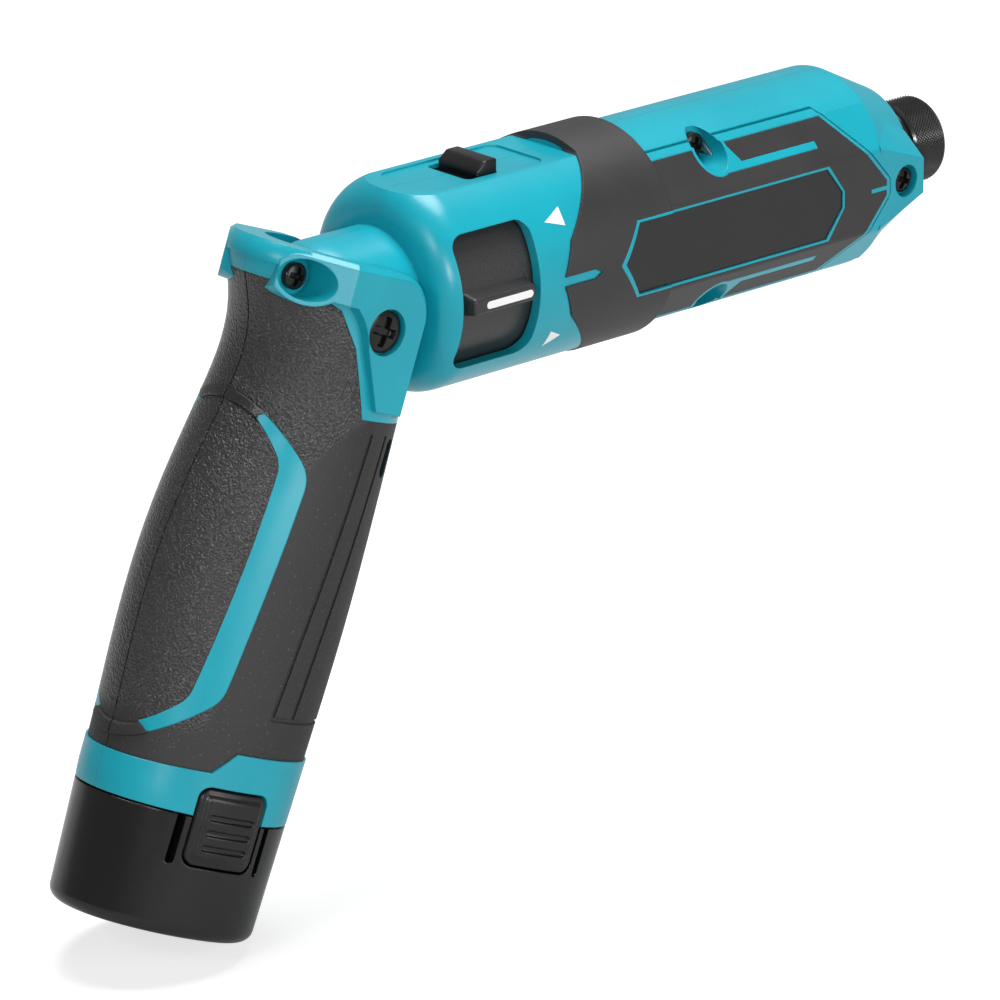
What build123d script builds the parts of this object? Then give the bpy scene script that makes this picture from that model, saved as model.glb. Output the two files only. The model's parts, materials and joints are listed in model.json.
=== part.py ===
from build123d import *
import os
from math import asin, cos, degrees, pi, radians, sin

# Folding impact driver. +X runs forward along the barrel to the bit, +Y is the tool's left, +Z is up.
# The origin is the centre of the bit socket's mouth. All sizes are in millimetres.

# Barrel outside, lengths from the mouth backwards
nose_reach = 16.5
nose_length = 14.0
front_length = 58.0
collar_width = 14.6
rear_length = 44.4
neck_length = 13.2
barrel_r = 21.7
top_flat = 19.6
shoulder_round = 1.5
collar_r = 22.0
front_r = 20.6
nose_r = 14.4
side_flat = 20.4
flat_half = 8.3
facet_y = 13.3
facet_z = 16.3
facet_round = 2.0
wall_round = 7.5
wall = 2.5
rear_wall = 4.0
neck_r = 14.0
pivot_drop = 1.3
rubber_t = 1.5

# Rubber panel outline on the barrel's side
vee_depth = 14.8
vee_half = 20.1
vee_knee = 2.7
vee_knee_half = 7.6
notch_length = 7.9
notch_point = 1.7
notch_half = 0.95
panel_half = 16.0
panel_nose = 11.5
panel_lead = 1.6
lead_reach = 1.2
tick_length = 4.3
tick_half = 0.45
accent_setback = 15.8
accent_low = 11.1
accent_width = 1.3
accent_elbow = 6.2
accent_lean = 3.0
groove_out = 1.0
groove_width = 0.35
groove_deep = 0.4
plate_setback = 1.1
plate_length = 60.4
plate_half = 7.3
plate_point = 4.6
plate_chamfer = 4.4
plate_rim = 0.5
plate_chevron = 1.6
plate_front_half = 1.7
plate_t = 0.5
plate_sink = 0.3

# Trigger window, drum and fin
window_inset = 4.2
window_length = 19.1
window_half = 13.4
window_round = 3.0
drum_r = 19.2
drum_t = 2.0
drum_gap = 0.3
drum_swing = 10.0
drum_end_gap = 0.4
fin_reach = 22.4
fin_length = 17.4
fin_root_half = 2.5
fin_draft = 13.0
fin_round = 1.6
fin_chamfer = 0.35
fin_setback = 0.8

# Lock-off slider on top of the barrel
panel_recess = 0.4
panel_length = 30.0
panel_setback = 7.5
panel_half_width = 7.8
panel_round = 2.5
slot_setback = 18.6
slot_length = 8.3
slot_half = 6.1
slot_round = 1.4
knob_length = 5.2
knob_half = 5.7
knob_top = 21.9
knob_round = 1.3
slider_roof = 0.9
chamber_rib = 0.8
slider_t = 0.8
slider_gap = 0.2
slider_side_gap = 0.3
slider_lip = 2.6
slider_half = 8.2

# Screws
screw_r = 1.5
screw_gap = 0.05
screw_head_r = 2.6
screw_head_t = 1.9
pocket_r = 3.7
pocket_rim = 0.7
housing_screw_z = 15.2
housing_screw_seat = 8.2
housing_screw_length = 18.0
nose_screw_back = 6.7
cheek_inner = 10.0
cheek_lap = 0.5
cheek_reach = 1.4
cheek_y = 19.5
cheek_half = 3.6
cheek_facet_y = 14.0
cheek_facet_z = 8.0
cheek_top_z = 9.5
nose_screw_pocket = 3.3
nose_screw_sink = 0.3
nose_screw_bite = 4.2

# Hammer case, gear and impact train, lengths along X
case_proud = 0.5
case_length = 53.3
case_r = 17.4
case_snout_r = 13.0
case_snout_length = 3.0
case_cone_length = 14.5
case_bore_r = 16.0
case_gap = 0.1
anvil_bush_r = 9.0
anvil_bush_length = 15.0
bulkhead_t = 6.0
bulkhead_bore_r = 11.0
gear_module = 0.7
sun_teeth = 10
planet_teeth = 14
planet_count = 3
gear_width = 6.0
gear_gap = 0.4
pin_r = 1.5
running_gap = 0.05
carrier_r = 12.0
carrier_t = 3.0
spindle_r = 6.0
hammer_r = 15.0
hammer_length = 10.0
hammer_travel = 6.0
dog_length = 4.0
dog_inner_r = 8.0
dog_angle = 46.0
wing_angle = 46.0
wing_r = 14.2
wing_gap = 0.4
cam_ball_r = 1.8
cam_lean = 35.0
spring_wire_r = 0.9
spring_mean_r = 10.6
spring_turns = 4
spring_pocket_depth = 6.0
spindle_tip_r = 3.0
spindle_tip_length = 3.6

# Anvil nose, bit socket and sleeve
anvil_r = 6.6
anvil_nose_r = 5.75
anvil_nose_length = 13.0
socket_across = 6.45
socket_depth = 20.0
detent_ball_r = 1.5
detent_ball_back = 10.4
detent_ball_orbit = 4.2
sleeve_r = 9.0
sleeve_front_gap = 0.6
sleeve_knurl_length = 8.6
sleeve_groove_r = 8.0
sleeve_groove_length = 2.2
sleeve_flange_length = 3.7
sleeve_flange_r = 8.6
sleeve_bore_r = 7.6
sleeve_land_gap = 0.1
sleeve_travel = 3.4
stop_ring_t = 1.0
stop_ring_set = 1.2
sleeve_wire_r = 0.45
sleeve_spring_turns = 3

# Motor
motor_length = 40.0
motor_r = 16.4
motor_can_t = 1.4
magnet_t = 2.2
magnet_angle = 130.0
armature_r = 11.8
armature_length = 22.0
armature_slots = 5
slot_width = 2.4
commutator_r = 5.0
commutator_length = 5.0
shaft_r = 1.6
end_bell_t = 2.0
motor_back_gap = 2.0
mid_wall_t = 2.0
mid_bore_r = 8.0
brush_width = 3.0
brush_reach = 6.0
bearing_r = 5.5
bearing_width = 4.0

# Switch body inside the drum
switch_width = 22.0
switch_height = 20.0
switch_length = 18.0

# Handle. Stations run down the handle from the hinge, reaches run forward of its axis line
bend = 69.0
end_face = 11.4
handle_length = 97.0
battery_length = 23.5
handle_rubber_t = 1.2
top_rear = 21.9
top_half = 16.5
beak_rear = 22.5
beak_half = 17.0
rim_end = 7.5
rim_proud = 0.5
ridge_proud = 0.4
ridge_width = 1.3
seam_width = 0.4
seam_deep = 0.3
collar_proud = 0.4
waist_rear = 17.2
waist_half = 17.3
palm_rear = 25.6
palm_half = 18.8
grip_front = 20.8
base_rear = 24.7
base_half = 18.5
base_front = 18.5
foot_rear = 24.2
foot_half = 18.3
foot_front = 17.9
foot_round = 2.5
ear_y = 18.8
ear_inner = 14.4
ear_front = 10.0
ear_round = 9.0
ear_low = 15.2
ear_rim = 2.0
ear_back = 2.6
ear_rise = 15.0
front_top = 16.0
rubber_top = 4.4
collar_rear = 90.0
collar_side = 88.4
collar_front = 84.0
collar_step_back = 12.0
collar_step_front = 8.0
stripe_top = 20.2
stripe_bend = 29.6
stripe_low = 74.7
stripe_end = 84.0
stripe_tail_reach = -16.4
stripe_bend_reach = -8.0
stripe_low_reach = -13.6
stripe_end_reach = -22.9
stripe_width = 5.4
stripe_tail = 0.9
stripe_round = 7.0
yoke_screw_station = -6.1
yoke_screw_reach = -17.2
yoke_screw_seat = 7.5
yoke_pocket_r = 3.9
yoke_pocket_rim = 0.8
yoke_slope_top = -11.2
yoke_slope_end = -21.2
yoke_slope_y = 7.8
yoke_back_y = 4.0
yoke_cheek_low = 3.4
yoke_bevel = 1.0
hinge_pin_r = 4.0
hinge_pin_half = 16.8
pivot_recess_r = 4.55
pivot_head_r = 4.15
pivot_head_t = 1.5
pivot_thread_r = 2.0
pivot_thread_length = 9.0
strap_station = 24.0
strap_reach = 12.4
strap_length = 7.6
strap_width = 3.0
strap_floor = 10.5
line_width = 0.9
line_deep = 0.45
line_spread = 5.2
line_top = 19.7
line_end = 75.8
line_reach = 4.0
line_lean = 7.0

# Battery pack
cell_r = 8.4
cell_length = 64.0
cell_gap = 0.1
cell_web = 0.6
stem_wall = 1.0
stem_centre = -2.5
stem_top = 44.0
stem_gap = 0.3
stem_cap_t = 3.0
seat_gap = 0.4
button_reach = -5.7
button_width = 14.6
button_top = 91.4
button_bottom = 106.4
button_proud = 0.7
button_press = 1.2
button_gap = 0.4
button_round = 2.4
rib_width = 1.2
rib_count = 3
rib_pitch = 3.2
rib_top = 96.5
rib_inset = 2.2
rib_deep = 0.5
tongue_slot_width = 1.5
tongue_slot_offset = 2.2
tongue_slot_end = 107.0
tongue_slot_deep = 2.4
blade_t = 0.8
blade_width = 5.0
blade_length = 6.6
blade_reach = 6.0
blade_gap = 0.3
terminal_length = 7.0
cut = 40.0

# Stations along the barrel
nose_x = -nose_reach
shoulder_x = nose_x - nose_length
collar_front_x = shoulder_x - front_length
collar_rear_x = collar_front_x - collar_width
wall_x = collar_rear_x - rear_length
pivot_x = wall_x - neck_length
case_front_x = nose_x + case_proud
case_rear_x = case_front_x - case_length
bulk_front_x = case_rear_x - case_gap
bulk_rear_x = bulk_front_x - bulkhead_t
motor_rear_x = bulk_rear_x - motor_length
mid_front_x = motor_rear_x - motor_back_gap
chamber_front_x = mid_front_x - mid_wall_t
chamber_rear_x = wall_x + rear_wall
nose_screw_x = nose_x - nose_screw_back
housing_screw_x = (bulk_front_x + bulk_rear_x) / 2
cone_slope = (front_r - nose_r) / (nose_length - 1.6)
slider_ceiling = top_flat - panel_recess - slider_roof
slider_bottom = slider_ceiling - slider_gap - slider_t
slider_floor = slider_bottom - slider_gap
slider_travel = slot_length - knob_length - 2 * slider_side_gap
chamber_half = slider_floor - chamber_rib

# The drum is cut flat above and below, so that its corners clear the chamber at full swing
drum_corner = degrees(asin((chamber_half - drum_gap) / drum_r)) - drum_swing
drum_half = drum_r * sin(radians(drum_corner))

# Handle directions in the bent pose
handle_down = (-cos(radians(bend)), 0, -sin(radians(bend)))
handle_front = (sin(radians(bend)), 0, -cos(radians(bend)))
pivot = (pivot_x, 0, -pivot_drop)
handle_side = Plane(origin=pivot, x_dir=handle_front, z_dir=(0, -1, 0))
foot_station = handle_length + seat_gap + battery_length


def across(station):
    """Plane square to the handle at a station below the hinge; local x is forward, local y is right."""
    centre = Vector(*pivot) + Vector(*handle_down) * station
    return Plane(origin=centre, x_dir=handle_front, z_dir=handle_down)


def side(station, reach):
    """Point on the handle's side plane from a station down the handle and a forward reach."""
    return (reach, -station)


def egg(plane, rear, half, front):
    """Handle section: one half ellipse behind the axis line and one in front of it."""
    with BuildSketch(plane) as section:
        with BuildLine():
            EllipticalCenterArc((0, 0), rear, half, start_angle=90, arc_size=180)
            EllipticalCenterArc((0, 0), front, half, start_angle=-90, arc_size=180)
        make_face()
    return section.sketch


def handle_form(inset):
    """The whole handle above the battery as one smooth body, shrunk all round by an inset."""
    waist_station = 10.0
    palm_station = 58.0
    sections = (
        (-end_face, top_rear, top_half, grip_front),
        (-end_face / 2, beak_rear, beak_half, grip_front),
        (2.0, waist_rear + 1.6, beak_half, grip_front),
        (waist_station, waist_rear, waist_half, grip_front),
        (20.0, waist_rear + 1.6, (waist_half + palm_half) / 2 - 0.2, grip_front),
        (40.0, palm_rear - 2.0, palm_half - 0.1, grip_front),
        (palm_station, palm_rear, palm_half, grip_front),
        (78.0, (palm_rear + base_rear) / 2, palm_half, (grip_front + base_front) / 2),
        (90.0, base_rear + 0.2, base_half + 0.1, base_front + 0.5),
        (handle_length, base_rear, base_half, base_front),
    )
    with BuildPart() as form:
        for station, rear, half, front in sections:
            add(egg(across(station), rear - inset, half - inset, front - inset))
        loft()
    return form.part


handle_outer = handle_form(0)


def battery_form(proud, skirt=14.0):
    """The battery base below the handle, grown all round by an offset."""
    with BuildPart() as form:
        lip = proud + collar_proud
        rear, half, front = base_rear + lip, base_half + lip, base_front + lip
        top = egg(across(handle_length + seat_gap - skirt), rear, half, front)
        add(egg(across(handle_length + seat_gap), rear, half, front))
        add(egg(across(foot_station), foot_rear + proud, foot_half + proud, foot_front + proud))
        loft()
        if proud > 0:
            extrude(top, amount=skirt)
    return form.part


def front_section(inset):
    """Front barrel section: a round body with flat sides and sloping shoulders."""
    y, z, flat, top = side_flat, flat_half, facet_y, facet_z
    outline = [(y, -z), (y, z), (flat, top), (-flat, top), (-y, z), (-y, -z), (-flat, -top), (flat, -top)]
    with BuildSketch(Plane.YZ) as section:
        Circle(front_r)
        Rectangle(2 * side_flat, 2 * cut, mode=Mode.INTERSECT)
        with BuildLine():
            Polyline(*outline, close=True)
        make_face()
        corners = section.vertices().filter_by(lambda v: abs(abs(v.Y) - z) < 0.1)
        fillet(corners, radius=facet_round)
        if inset:
            offset(amount=-inset, kind=Kind.INTERSECTION)
    return section.sketch


def front_form(inset):
    """Front barrel body from behind the collar to the nose, with its cone."""
    cone_base = 30.0
    cone_length = (cone_base - nose_r) / cone_slope
    with BuildPart() as form:
        extrude(front_section(inset), amount=nose_x - collar_rear_x)
    body = form.part.moved(Location((collar_rear_x, 0, 0)))
    with BuildPart() as cone:
        with BuildSketch(Plane.XZ):
            with BuildLine():
                Polyline(
                    (collar_rear_x, 0),
                    (collar_rear_x, cone_base),
                    (nose_x - cone_length, cone_base),
                    (nose_x, nose_r),
                    (nose_x, 0),
                    close=True,
                )
            make_face()
        revolve(axis=Axis.X)
        add(body, mode=Mode.INTERSECT)
    return cone.part


def ring(x_from, x_to, inner, outer):
    """Plain ring about the barrel axis."""
    with BuildPart() as part:
        with BuildSketch(Plane.YZ.offset(min(x_from, x_to))):
            Circle(outer)
            if inner:
                Circle(inner, mode=Mode.SUBTRACT)
        extrude(amount=abs(x_to - x_from))
    return part.part


def sector(x_from, x_to, inner, outer, middle, spread):
    """Part of a ring about the barrel axis; angles are measured from +Y towards +Z."""
    with BuildPart() as part:
        with BuildSketch(Plane.YZ.offset(min(x_from, x_to))):
            with BuildLine():
                start = middle - spread / 2
                rim = CenterArc((0, 0), outer, start, spread)
                bore = CenterArc((0, 0), inner, start, spread)
                Line(rim @ 0, bore @ 0)
                Line(rim @ 1, bore @ 1)
            make_face()
        extrude(amount=abs(x_to - x_from))
    return part.part


def gear_outline(teeth, tip, root, tip_share, root_share, turn):
    """Corner points of a gear with straight flanks; shares are of the tooth pitch, turn is in degrees."""
    points = []
    pitch = 2 * pi / teeth
    for tooth in range(teeth):
        middle = radians(turn) + tooth * pitch
        for radius, share in ((root, -root_share), (tip, -tip_share), (tip, tip_share), (root, root_share)):
            angle = middle + share * pitch / 2
            points.append((radius * cos(angle), radius * sin(angle)))
    return points


def coil(x_from, x_to, mean_r, wire_r, turns):
    """Round wire spring about the barrel axis that just fits between two faces."""
    length = abs(x_to - x_from) - 2 * wire_r
    with BuildPart() as part:
        with BuildLine():
            start = (min(x_from, x_to) + wire_r, 0, 0)
            path = Helix(length / turns, length, mean_r, center=start, direction=(1, 0, 0))
        with BuildSketch(Plane(origin=path @ 0, z_dir=path % 0)):
            Circle(wire_r)
        sweep(path=path)
    return part.part


def nose_cheek(face, inset):
    """Facetted cheek on one side of the nose cone, tapering forward, shrunk by an inset."""
    rear = [
        (cheek_inner, facet_z - inset),
        (facet_y, facet_z - inset),
        (side_flat - inset, flat_half),
    ]
    front = [
        (cheek_inner, cheek_top_z - inset),
        (cheek_facet_y, cheek_facet_z - inset),
        (cheek_y - inset, cheek_half),
    ]
    with BuildPart() as part:
        for x, upper in ((shoulder_x - cheek_lap, rear), (nose_x - cheek_reach, front)):
            outline = upper + [(y, -z) for y, z in reversed(upper)]
            with BuildSketch(Plane.YZ.offset(x)):
                with BuildLine():
                    Polyline(*[(face * y, z) for y, z in outline], close=True)
                make_face()
        loft(ruled=True)
    return part.part


# Side outline of the rubber panel in front of the collar
cheek_x = shoulder_x - panel_nose
lead_x = shoulder_x + lead_reach
panel_front = [(collar_front_x, panel_half), (cheek_x, panel_half), (lead_x, panel_lead)]

# Thin groove in the bare shell that follows the panel's edge
with BuildPart() as panel_groove:
    with BuildSketch(Plane.XZ):
        for grow, mode in ((groove_out + groove_width, Mode.ADD), (groove_out, Mode.SUBTRACT)):
            upper = [(x, z + grow) for x, z in panel_front[:2]] + [(lead_x + grow, panel_lead)]
            with BuildLine():
                Polyline(*upper, *[(x, -z) for x, z in reversed(upper)], close=True)
            make_face(mode=mode)
    extrude(amount=cut, both=True)
    add(front_form(groove_deep), mode=Mode.SUBTRACT)
    for face in (1, -1):
        add(nose_cheek(face, groove_deep), mode=Mode.SUBTRACT)

# Barrel outside in one piece, before the rubber and the cavities are taken out
with BuildPart() as barrel_blank:
    with BuildSketch(Plane.XZ):
        with BuildLine():
            Line((wall_x, 0), (wall_x, barrel_r - wall_round))
            RadiusArc((wall_x, barrel_r - wall_round), (wall_x + wall_round, barrel_r), wall_round)
            Line((wall_x + wall_round, barrel_r), (collar_front_x, barrel_r))
            Line((collar_front_x, barrel_r), (collar_front_x, 0))
            Line((collar_front_x, 0), (wall_x, 0))
        make_face()
    revolve(axis=Axis.X)
    with BuildSketch(Plane.YZ.offset(wall_x)) as flat_section:
        Circle(barrel_r)
        with Locations((0, top_flat - cut)):
            Rectangle(2 * cut, 2 * cut, mode=Mode.INTERSECT)
        fillet(flat_section.vertices().filter_by(lambda v: v.Y > top_flat - 0.1), radius=shoulder_round)
    extrude(amount=collar_front_x - wall_x, mode=Mode.INTERSECT)
    add(front_form(0))
    for face in (1, -1):
        add(nose_cheek(face, 0))
    add(panel_groove.part, mode=Mode.SUBTRACT)

# Side outline of the rubber panel, pierced by the screw pockets and the bare accents
accent_front_x = shoulder_x - accent_setback
with BuildPart() as panel_prism:
    with BuildSketch(Plane.XZ):
        with BuildLine():
            vee_x = collar_rear_x - vee_depth
            notch_x = vee_x + notch_length
            tick_x = lead_x - tick_length
            upper = [
                (notch_x, notch_half),
                (vee_x, notch_half),
                (vee_x + vee_knee, vee_knee_half),
                (collar_rear_x, vee_half),
                (collar_rear_x, cut),
                (collar_front_x, cut),
                *panel_front,
                (lead_x, tick_half),
                (tick_x, tick_half),
            ]
            lower = [(x, -z) for x, z in reversed(upper)]
            Polyline((notch_x + notch_point, 0), *upper, *lower, close=True)
        make_face()
        with Locations((housing_screw_x, housing_screw_z), (housing_screw_x, -housing_screw_z)):
            Circle(pocket_r + pocket_rim, mode=Mode.SUBTRACT)
        elbow_x = housing_screw_x + accent_elbow
        for way in (1, -1):
            accent = [
                (housing_screw_x, accent_low),
                (accent_front_x, accent_low),
                (accent_front_x, accent_low + accent_width),
                (elbow_x, accent_low + accent_width),
                (elbow_x - accent_lean, panel_half + accent_width),
                (housing_screw_x, panel_half + accent_width),
            ]
            with BuildLine():
                Polyline(*[(x, way * z) for x, z in accent], close=True)
            make_face(mode=Mode.SUBTRACT)
    extrude(amount=cut, both=True)

# Rubber skin of the barrel, both sides at once
with BuildPart() as rubber_skin:
    add(ring(collar_rear_x - vee_depth - wall, collar_front_x, 0, collar_r))
    add(front_form(0))
    add(panel_prism.part, mode=Mode.INTERSECT)
    add(ring(wall_x, collar_front_x, 0, collar_r - rubber_t), mode=Mode.SUBTRACT)
    add(front_form(rubber_t), mode=Mode.SUBTRACT)

# Rating plate, a long hexagon on the flat of the right side
plate_rear_x = collar_rear_x + plate_setback
plate_front_x = plate_rear_x + plate_length


def plate_outline(grow):
    """Corner points of the rating plate on the barrel's side, grown all round."""
    front, half = plate_front_x + grow, plate_half + grow
    tip = plate_rear_x - grow * (1 + plate_chevron)
    return [
        (tip, 0),
        (plate_rear_x + plate_point - grow, half),
        (front - plate_chamfer, half),
        (front, plate_front_half),
        (front, -plate_front_half),
        (front - plate_chamfer, -half),
        (plate_rear_x + plate_point - grow, -half),
    ]


with BuildPart() as rating_plate:
    with BuildSketch(Plane.XZ.offset(side_flat - plate_sink - plate_t)):
        with BuildLine():
            Polyline(*plate_outline(0), close=True)
        make_face()
    extrude(amount=plate_t)
rating_plate.part.label = "rating_plate"

with BuildPart() as plate_island:
    with BuildSketch(Plane.XZ):
        with BuildLine():
            Polyline(*plate_outline(plate_rim), close=True)
        make_face()
    extrude(amount=cut)

# Hinge neck: a round stub behind the wall that ends in a ball about the hinge
with BuildPart() as neck:
    with BuildSketch(Plane.YZ.offset(pivot_x)):
        with Locations((0, -pivot_drop)):
            Circle(neck_r)
    extrude(amount=neck_length + wall / 2)
    with Locations(pivot):
        Sphere(neck_r)

# Hollow of the barrel: drum chamber, motor bay, bulkhead and hammer case seat
case_cone_x = case_front_x - case_snout_length - case_cone_length
case_snout_x = case_front_x - case_snout_length
with BuildPart() as barrel_hollow:
    with BuildSketch(Plane.XZ):
        with BuildLine():
            Polyline(
                (pivot_x, 0),
                (pivot_x, mid_bore_r),
                (mid_front_x, mid_bore_r),
                (mid_front_x, motor_r + case_gap),
                (bulk_rear_x, motor_r + case_gap),
                (bulk_rear_x, bulkhead_bore_r),
                (bulk_front_x, bulkhead_bore_r),
                (bulk_front_x, case_r + case_gap),
                (case_cone_x, case_r + case_gap),
                (case_snout_x, case_snout_r + case_gap),
                (0, case_snout_r + case_gap),
                (0, 0),
                close=True,
            )
        make_face()
    revolve(axis=Axis.X)
    with BuildSketch(Plane.YZ.offset(chamber_rear_x)):
        Circle(drum_r + drum_gap)
        Rectangle(2 * cut, 2 * chamber_half, mode=Mode.INTERSECT)
    extrude(amount=chamber_front_x - chamber_rear_x)

# Trigger window
window_x = wall_x + window_inset + window_length / 2
with BuildPart() as window_cut:
    with BuildSketch(Plane.XZ):
        with Locations((window_x, 0)):
            RectangleRounded(window_length, 2 * window_half, window_round)
    extrude(amount=cut, both=True)

# Lock slider's slot and recessed panel
slot_x = wall_x + slot_setback + slot_length / 2
panel_x = wall_x + panel_setback
slider_length = slot_length + 2 * slider_lip
knob_x = slot_x + slot_length / 2 - slider_side_gap - knob_length / 2
slider_x = knob_x
with BuildPart() as slider_cut:
    with BuildSketch(Plane.XY.offset(top_flat - panel_recess)):
        with Locations((panel_x + panel_length / 2, 0)):
            RectangleRounded(panel_length, 2 * panel_half_width, panel_round)
    extrude(amount=cut)
    with BuildSketch(Plane.XY.offset(slider_floor)):
        with Locations((slot_x, 0)):
            RectangleRounded(slot_length, 2 * slot_half, slot_round)
    extrude(amount=cut)
    pocket_rear = slider_x - slider_length / 2 - slider_travel - slider_side_gap
    pocket_front = slider_x + slider_length / 2 + slider_side_gap
    with BuildSketch(Plane.XY.offset(slider_floor)):
        with Locations(((pocket_rear + pocket_front) / 2, 0)):
            Rectangle(pocket_front - pocket_rear, 2 * (slider_half + slider_side_gap))
    extrude(amount=slider_ceiling - slider_floor)

# Barrel shell in one piece, then its two halves
with BuildPart() as barrel_shell:
    add(barrel_blank.part)
    add(rubber_skin.part, mode=Mode.SUBTRACT)
    add(neck.part)
    add(barrel_hollow.part, mode=Mode.SUBTRACT)
    add(window_cut.part, mode=Mode.SUBTRACT)
    add(slider_cut.part, mode=Mode.SUBTRACT)
    with BuildSketch(Plane.XZ):
        with Locations((pivot_x, -pivot_drop)):
            Circle(hinge_pin_r + running_gap)
    extrude(amount=cut, both=True, mode=Mode.SUBTRACT)
    with BuildSketch(Plane.XZ):
        with Locations((housing_screw_x, housing_screw_z), (housing_screw_x, -housing_screw_z)):
            Circle(screw_r + screw_gap)
    extrude(amount=housing_screw_length - housing_screw_seat + screw_gap, both=True, mode=Mode.SUBTRACT)
    with BuildSketch(Plane.XZ):
        with Locations((nose_screw_x, 0)):
            Circle(screw_r + screw_gap)
    extrude(amount=cut, both=True, mode=Mode.SUBTRACT)
    nose_seat = cheek_y - screw_head_t - nose_screw_sink
    for face in (1, -1):
        with BuildSketch(Plane.XZ.offset(face * nose_seat)):
            with Locations((nose_screw_x, 0)):
                Circle(nose_screw_pocket)
        extrude(amount=face * cut, mode=Mode.SUBTRACT)

with BuildPart() as housing_right:
    add(barrel_shell.part)
    add(rubber_skin.part.intersect(plate_island.part))
    split(bisect_by=Plane.XZ, keep=Keep.TOP)
    with BuildSketch(Plane.XZ.offset(side_flat - plate_sink - plate_t)):
        with BuildLine():
            Polyline(*plate_outline(0), close=True)
        make_face()
    extrude(amount=cut, mode=Mode.SUBTRACT)
    with BuildSketch(Plane.XZ.offset(housing_screw_seat)):
        with Locations((housing_screw_x, housing_screw_z), (housing_screw_x, -housing_screw_z)):
            Circle(pocket_r)
    extrude(amount=cut, mode=Mode.SUBTRACT)
housing_right.part.label = "housing_right"

with BuildPart() as housing_left:
    add(barrel_shell.part)
    split(bisect_by=Plane.XZ, keep=Keep.BOTTOM)
housing_left.part.label = "housing_left"

with BuildPart() as rubber_right:
    add(rubber_skin.part)
    split(bisect_by=Plane.XZ, keep=Keep.TOP)
    add(plate_island.part, mode=Mode.SUBTRACT)
rubber_right.part.label = "barrel_rubber_right"

with BuildPart() as rubber_left:
    add(rubber_skin.part)
    split(bisect_by=Plane.XZ, keep=Keep.BOTTOM)
rubber_left.part.label = "barrel_rubber_left"


def pan_screw(seat, length, head_t, head_r, shank_r):
    """Pan head screw along +Y from its seat, at the origin of the side plane."""
    with BuildPart() as part:
        with BuildSketch(Plane.XZ.offset(-seat)):
            Circle(shank_r)
        extrude(amount=-length)
        with BuildSketch(Plane.XZ.offset(-seat)):
            Circle(head_r)
        extrude(amount=head_t)
        crown = part.faces().sort_by(Axis.Y)[0]
        fillet(crown.edges(), radius=head_t * 0.45)
        with BuildSketch(Plane.XZ.offset(-seat + head_t)):
            Rectangle(head_r * 1.2, head_r * 0.3)
            Rectangle(head_r * 0.3, head_r * 1.2)
        extrude(amount=-head_t * 0.5, mode=Mode.SUBTRACT)
    return part.part


with BuildPart() as housing_screws:
    one = pan_screw(-housing_screw_seat, housing_screw_length, screw_head_t, screw_head_r, screw_r)
    add(one.moved(Location((housing_screw_x, 0, housing_screw_z))))
    add(one.moved(Location((housing_screw_x, 0, -housing_screw_z))))
housing_screws.part.label = "housing_screws"

nose_screw_length = nose_seat - (case_snout_r - nose_screw_bite + 1.5)
with BuildPart() as nose_screws:
    one = pan_screw(-nose_seat, nose_screw_length, screw_head_t, screw_head_r, screw_r)
    right = one.moved(Location((nose_screw_x, 0, 0)))
    add(right)
    add(right.mirror(Plane.XZ))
nose_screws.part.label = "nose_screws"

# Hammer case, with a bore for the ring gear and hammer and a snout for the anvil
case_end_x = case_snout_x - anvil_bush_length + case_snout_length
with BuildPart() as hammer_case:
    with BuildSketch(Plane.XZ):
        with BuildLine():
            Polyline(
                (case_rear_x, case_bore_r),
                (case_rear_x, case_r),
                (case_cone_x, case_r),
                (case_snout_x, case_snout_r),
                (case_front_x, case_snout_r),
                (case_front_x, anvil_bush_r),
                (case_end_x, anvil_bush_r),
                (case_end_x, case_bore_r),
                close=True,
            )
        make_face()
    revolve(axis=Axis.X)
    with BuildSketch(Plane.XZ):
        with Locations((nose_screw_x, 0)):
            Circle(screw_r + screw_gap)
    extrude(amount=cut, both=True, mode=Mode.SUBTRACT)
hammer_case.part.label = "hammer_case"

with BuildPart() as anvil_bush:
    add(ring(case_end_x, case_front_x, anvil_r + running_gap, anvil_bush_r))
anvil_bush.part.label = "anvil_bush"

# Planetary stage
ring_teeth = sun_teeth + 2 * planet_teeth
sun_pitch = gear_module * sun_teeth / 2
planet_pitch = gear_module * planet_teeth / 2
ring_pitch = gear_module * ring_teeth / 2
orbit = sun_pitch + planet_pitch
addendum = 0.8 * gear_module
dedendum = 1.15 * gear_module
gear_rear_x = bulk_front_x + gear_gap + case_gap
gear_front_x = gear_rear_x + gear_width
carrier_rear_x = gear_front_x + gear_gap
carrier_front_x = carrier_rear_x + carrier_t

with BuildPart() as ring_gear:
    with BuildSketch(Plane.YZ.offset(gear_rear_x)):
        Circle(case_bore_r)
        with BuildLine():
            outer, inner = ring_pitch + dedendum, ring_pitch - addendum
            hollow = gear_outline(ring_teeth, outer, inner, 0.36, 0.64, 180 / ring_teeth)
            Polyline(*hollow, close=True)
        make_face(mode=Mode.SUBTRACT)
    extrude(amount=gear_width)
ring_gear.part.label = "ring_gear"

planets = []
planet_pins = []
for index in range(planet_count):
    angle = 360 / planet_count * index
    place = (orbit * cos(radians(angle)), orbit * sin(radians(angle)))
    turn = angle * (1 + sun_teeth / planet_teeth) + 180 / planet_teeth
    with BuildPart() as planet:
        with BuildSketch(Plane.YZ.offset(gear_rear_x)):
            with BuildLine():
                outer, inner = planet_pitch + addendum, planet_pitch - dedendum
                teeth = gear_outline(planet_teeth, outer, inner, 0.26, 0.62, turn)
                Polyline(*[(place[0] + y, place[1] + z) for y, z in teeth], close=True)
            make_face()
            with Locations(place):
                Circle(pin_r + running_gap, mode=Mode.SUBTRACT)
        extrude(amount=gear_width)
    planet.part.label = f"planet_gear_{index + 1}"
    planets.append(planet.part)

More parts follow.
